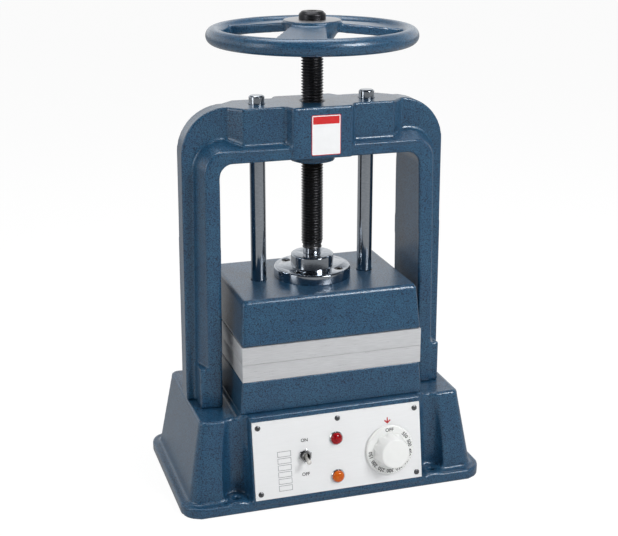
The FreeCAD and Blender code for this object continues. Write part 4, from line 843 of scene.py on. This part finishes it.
TICKS, TICK_START, TICK_END, LONG_HALF, SHORT_HALF = 17, 28.5, 29.4, 0.40, 0.26
tick_faces, tick_corners = [], []
for number in range(TICKS):
    turned_to = math.radians(FIRST_ANGLE + ANGLE_STEP / 2 * number)
    along = np.array((math.sin(turned_to), math.cos(turned_to)))
    beside = np.array((along[1], -along[0])) * (SHORT_HALF if number % 2 else LONG_HALF)
    inner, outer = along * TICK_START, along * TICK_END
    start = len(tick_corners)
    tick_corners += [(*(inner - beside), 0.0), (*(outer - beside), 0.0),
                     (*(outer + beside), 0.0), (*(inner + beside), 0.0)]
    tick_faces.append((start, start + 3, start + 2, start + 1))
ticks = bpy.data.meshes.new("dial_ticks")
ticks.from_pydata(tick_corners, [], tick_faces)
on_plate("dial_ticks", ticks, "black_ink", "dial", 0, x=KNOB_X, v=KNOB_V,
         w=KNOB_GAP + SKIRT_HIGH + INK_RISE)
print("dial marks", [words for words, _ in dial_marks])

# %% [markdown]
# ## The plain label on the beam
# A vinyl label sits on the beam's centre block. It is left without words or a picture: a
# white field with rounded corners, a thin red line round it and a red band along its top.

# %% The plain label
FINISHES["white_vinyl"] = plastic("white_vinyl", (0.84, 0.85, 0.86), 0.30, 0.97)
FINISHES["red_vinyl"] = plastic("red_vinyl", (0.62, 0.020, 0.022), 0.30, 0.92)
LABEL_LEFT, LABEL_RIGHT, LABEL_LOW, LABEL_HIGH, LABEL_FRONT = -14.6, 21.8, 421.9, 470.4, -44.25


def label_sheet(name, left, right, low, high, corner, y):
    """A flat rounded rectangle that faces the front: four quarter circles in one outline."""
    quarter = np.linspace(0.0, np.pi / 2, 6)
    points = []
    centres = [(right - corner, high - corner), (left + corner, high - corner),
               (left + corner, low + corner), (right - corner, low + corner)]
    for number, (x, z) in enumerate(centres):
        turned_to = quarter + number * np.pi / 2
        points += [(x + corner * math.cos(a), y, z + corner * math.sin(a)) for a in turned_to]
    mesh = bpy.data.meshes.new(name)
    mesh.from_pydata(np.array(points) * MM, [], [tuple(range(len(points)))])
    return mesh


LAYERS = [
    ("label_edge", "red_vinyl", LABEL_LEFT, LABEL_RIGHT, LABEL_LOW, LABEL_HIGH, 1.6, 0.0),
    ("label_field", "white_vinyl", LABEL_LEFT + 0.7, LABEL_RIGHT - 0.7, LABEL_LOW + 0.7,
     LABEL_HIGH - 0.7, 1.2, 0.06),
    ("label_band", "red_vinyl", LABEL_LEFT + 1.8, LABEL_RIGHT - 1.8, LABEL_HIGH - 11.0,
     LABEL_HIGH - 1.8, 0.8, 0.12),
]
for name, finish_name, left, right, low, high, corner, proud in LAYERS:
    mesh = label_sheet(name, left, right, low, high, corner, LABEL_FRONT - proud)
    object_of(name, mesh, FINISHES[finish_name], "stand", 0)
print("label", round(LABEL_RIGHT - LABEL_LEFT, 1), "by", round(LABEL_HIGH - LABEL_LOW, 1), "mm")

# %% [markdown]
# ## Floor, backdrop and light
# A product photograph is lit by large soft boxes over a pale sweep. The floor is pale and the
# camera sees the backdrop as pure white. Reflections see a white backdrop behind the press and
# an unlit studio on the camera's side, which gives bright metal its dark bands. The key light
# stands to the right of the camera, because the knob throws its shadow to the left and down.

# %% Floor
MIRRORED_FLOOR, SEEN_FLOOR = 0.38, 1.07


def stage_white(name, glow):
    """A pale sweep: lit paper, with a share of its light its own. The camera sees that share
    as white, mirror rays see it as grey."""
    made, tree, shader = finish(name, Roughness=0.9)
    shader.inputs["Base Color"].default_value = (0.82, 0.82, 0.82, 1.0)
    light = node(tree, "ShaderNodeEmission", {"Color": (1, 1, 1, 1)})
    rays = node(tree, "ShaderNodeLightPath")
    tree.links.new(span(tree, rays.outputs["Is Camera Ray"], 0.0, 1.0, MIRRORED_FLOOR, SEEN_FLOOR),
                   light.inputs["Strength"])
    seen = node(tree, "ShaderNodeMath", operation="MAXIMUM")
    either = node(tree, "ShaderNodeMath", operation="MAXIMUM")
    share = node(tree, "ShaderNodeMath", operation="MULTIPLY")
    share.inputs[1].default_value = glow
    blend = node(tree, "ShaderNodeMixShader")
    tree.links.new(rays.outputs["Is Camera Ray"], seen.inputs[0])
    tree.links.new(rays.outputs["Is Glossy Ray"], seen.inputs[1])
    tree.links.new(seen.outputs[0], either.inputs[0])
    tree.links.new(rays.outputs["Is Transmission Ray"], either.inputs[1])
    tree.links.new(either.outputs[0], share.inputs[0])
    tree.links.new(share.outputs[0], blend.inputs["Fac"])
    tree.links.new(shader.outputs["BSDF"], blend.inputs[1])
    tree.links.new(light.outputs["Emission"], blend.inputs[2])
    tree.links.new(blend.outputs["Shader"], tree.nodes["Material Output"].inputs["Surface"])
    return made


FLOOR_HALF = 14.0
floor_mesh = bpy.data.meshes.new("floor")
floor_mesh.from_pydata([(-FLOOR_HALF, -FLOOR_HALF, 0), (FLOOR_HALF, -FLOOR_HALF, 0),
                        (FLOOR_HALF, FLOOR_HALF, 0), (-FLOOR_HALF, FLOOR_HALF, 0)],
                       [], [(0, 1, 2, 3)])
floor_mesh.materials.append(stage_white("pale_floor", 0.86))
floor = bpy.data.objects.new("floor", floor_mesh)
bpy.context.collection.objects.link(floor)
print("floor", 2 * FLOOR_HALF, "m wide")

# %% World
def pale_room():
    """White to the camera. Mirror rays see it white behind the press, grey overhead and
    nearly black on the camera's side of the room. Diffuse light gets an even share."""
    world = bpy.data.worlds.new("pale_room")
    world.use_nodes = True
    tree = world.node_tree
    tree.nodes.clear()
    place = node(tree, "ShaderNodeTexCoord")
    split = node(tree, "ShaderNodeSeparateXYZ")
    tree.links.new(place.outputs["Generated"], split.inputs["Vector"])
    white, grey, dusk = (1.0, 1.0, 1.0), (0.30, 0.31, 0.33), (0.06, 0.065, 0.075)
    back = ramp(tree, span(tree, split.outputs["Y"], -1.0, 1.0), (0.30, dusk), (0.72, white))
    over = ramp(tree, split.outputs["Z"], (0.30, white), (0.62, grey))
    sky = node(tree, "ShaderNodeMix", data_type="RGBA", blend_type="MULTIPLY")
    sky.inputs[0].default_value = 1.0
    tree.links.new(back, sky.inputs[6])
    tree.links.new(over, sky.inputs[7])
    shown = node(tree, "ShaderNodeBackground", {"Strength": 1.0})
    soft = node(tree, "ShaderNodeBackground", {"Color": (1, 1, 1, 1), "Strength": 0.34})
    rays = node(tree, "ShaderNodeLightPath")
    behind = node(tree, "ShaderNodeMix", {7: (1, 1, 1, 1)}, data_type="RGBA")
    tree.links.new(rays.outputs["Is Camera Ray"], behind.inputs[0])
    tree.links.new(sky.outputs[2], behind.inputs[6])
    tree.links.new(behind.outputs[2], shown.inputs["Color"])
    seen = node(tree, "ShaderNodeMath", operation="MAXIMUM")
    either = node(tree, "ShaderNodeMath", operation="MAXIMUM")
    tree.links.new(rays.outputs["Is Camera Ray"], seen.inputs[0])
    tree.links.new(rays.outputs["Is Glossy Ray"], seen.inputs[1])
    tree.links.new(seen.outputs[0], either.inputs[0])
    tree.links.new(rays.outputs["Is Transmission Ray"], either.inputs[1])
    blend = node(tree, "ShaderNodeMixShader")
    tree.links.new(either.outputs[0], blend.inputs["Fac"])
    tree.links.new(soft.outputs[0], blend.inputs[1])
    tree.links.new(shown.outputs[0], blend.inputs[2])
    out = node(tree, "ShaderNodeOutputWorld")
    tree.links.new(blend.outputs[0], out.inputs["Surface"])
    return world


bpy.context.scene.world = pale_room()
print("world set")

# %% Lamps
def soft_box(name, place, aim, width, height, power):
    """A rectangular area light that looks at a point."""
    data = bpy.data.lights.new(name, "AREA")
    data.shape = "RECTANGLE"
    data.size, data.size_y = width, height
    data.energy = power
    lamp = bpy.data.objects.new(name, data)
    lamp.location = place
    lamp.rotation_euler = (Vector(aim) - Vector(place)).to_track_quat("-Z", "Y").to_euler()
    bpy.context.collection.objects.link(lamp)
    return lamp


MIDDLE = (0.0, 0.0, 0.28)
soft_box("key", (0.9, -1.5, 1.5), MIDDLE, 0.7, 0.7, 30.0)
soft_box("side", (-1.7, -0.5, 0.9), MIDDLE, 0.6, 1.2, 7.0)
soft_box("top", (0.0, 0.3, 1.9), MIDDLE, 1.2, 0.8, 14.0)
scene = bpy.context.scene
scene.view_settings.view_transform = "Standard"
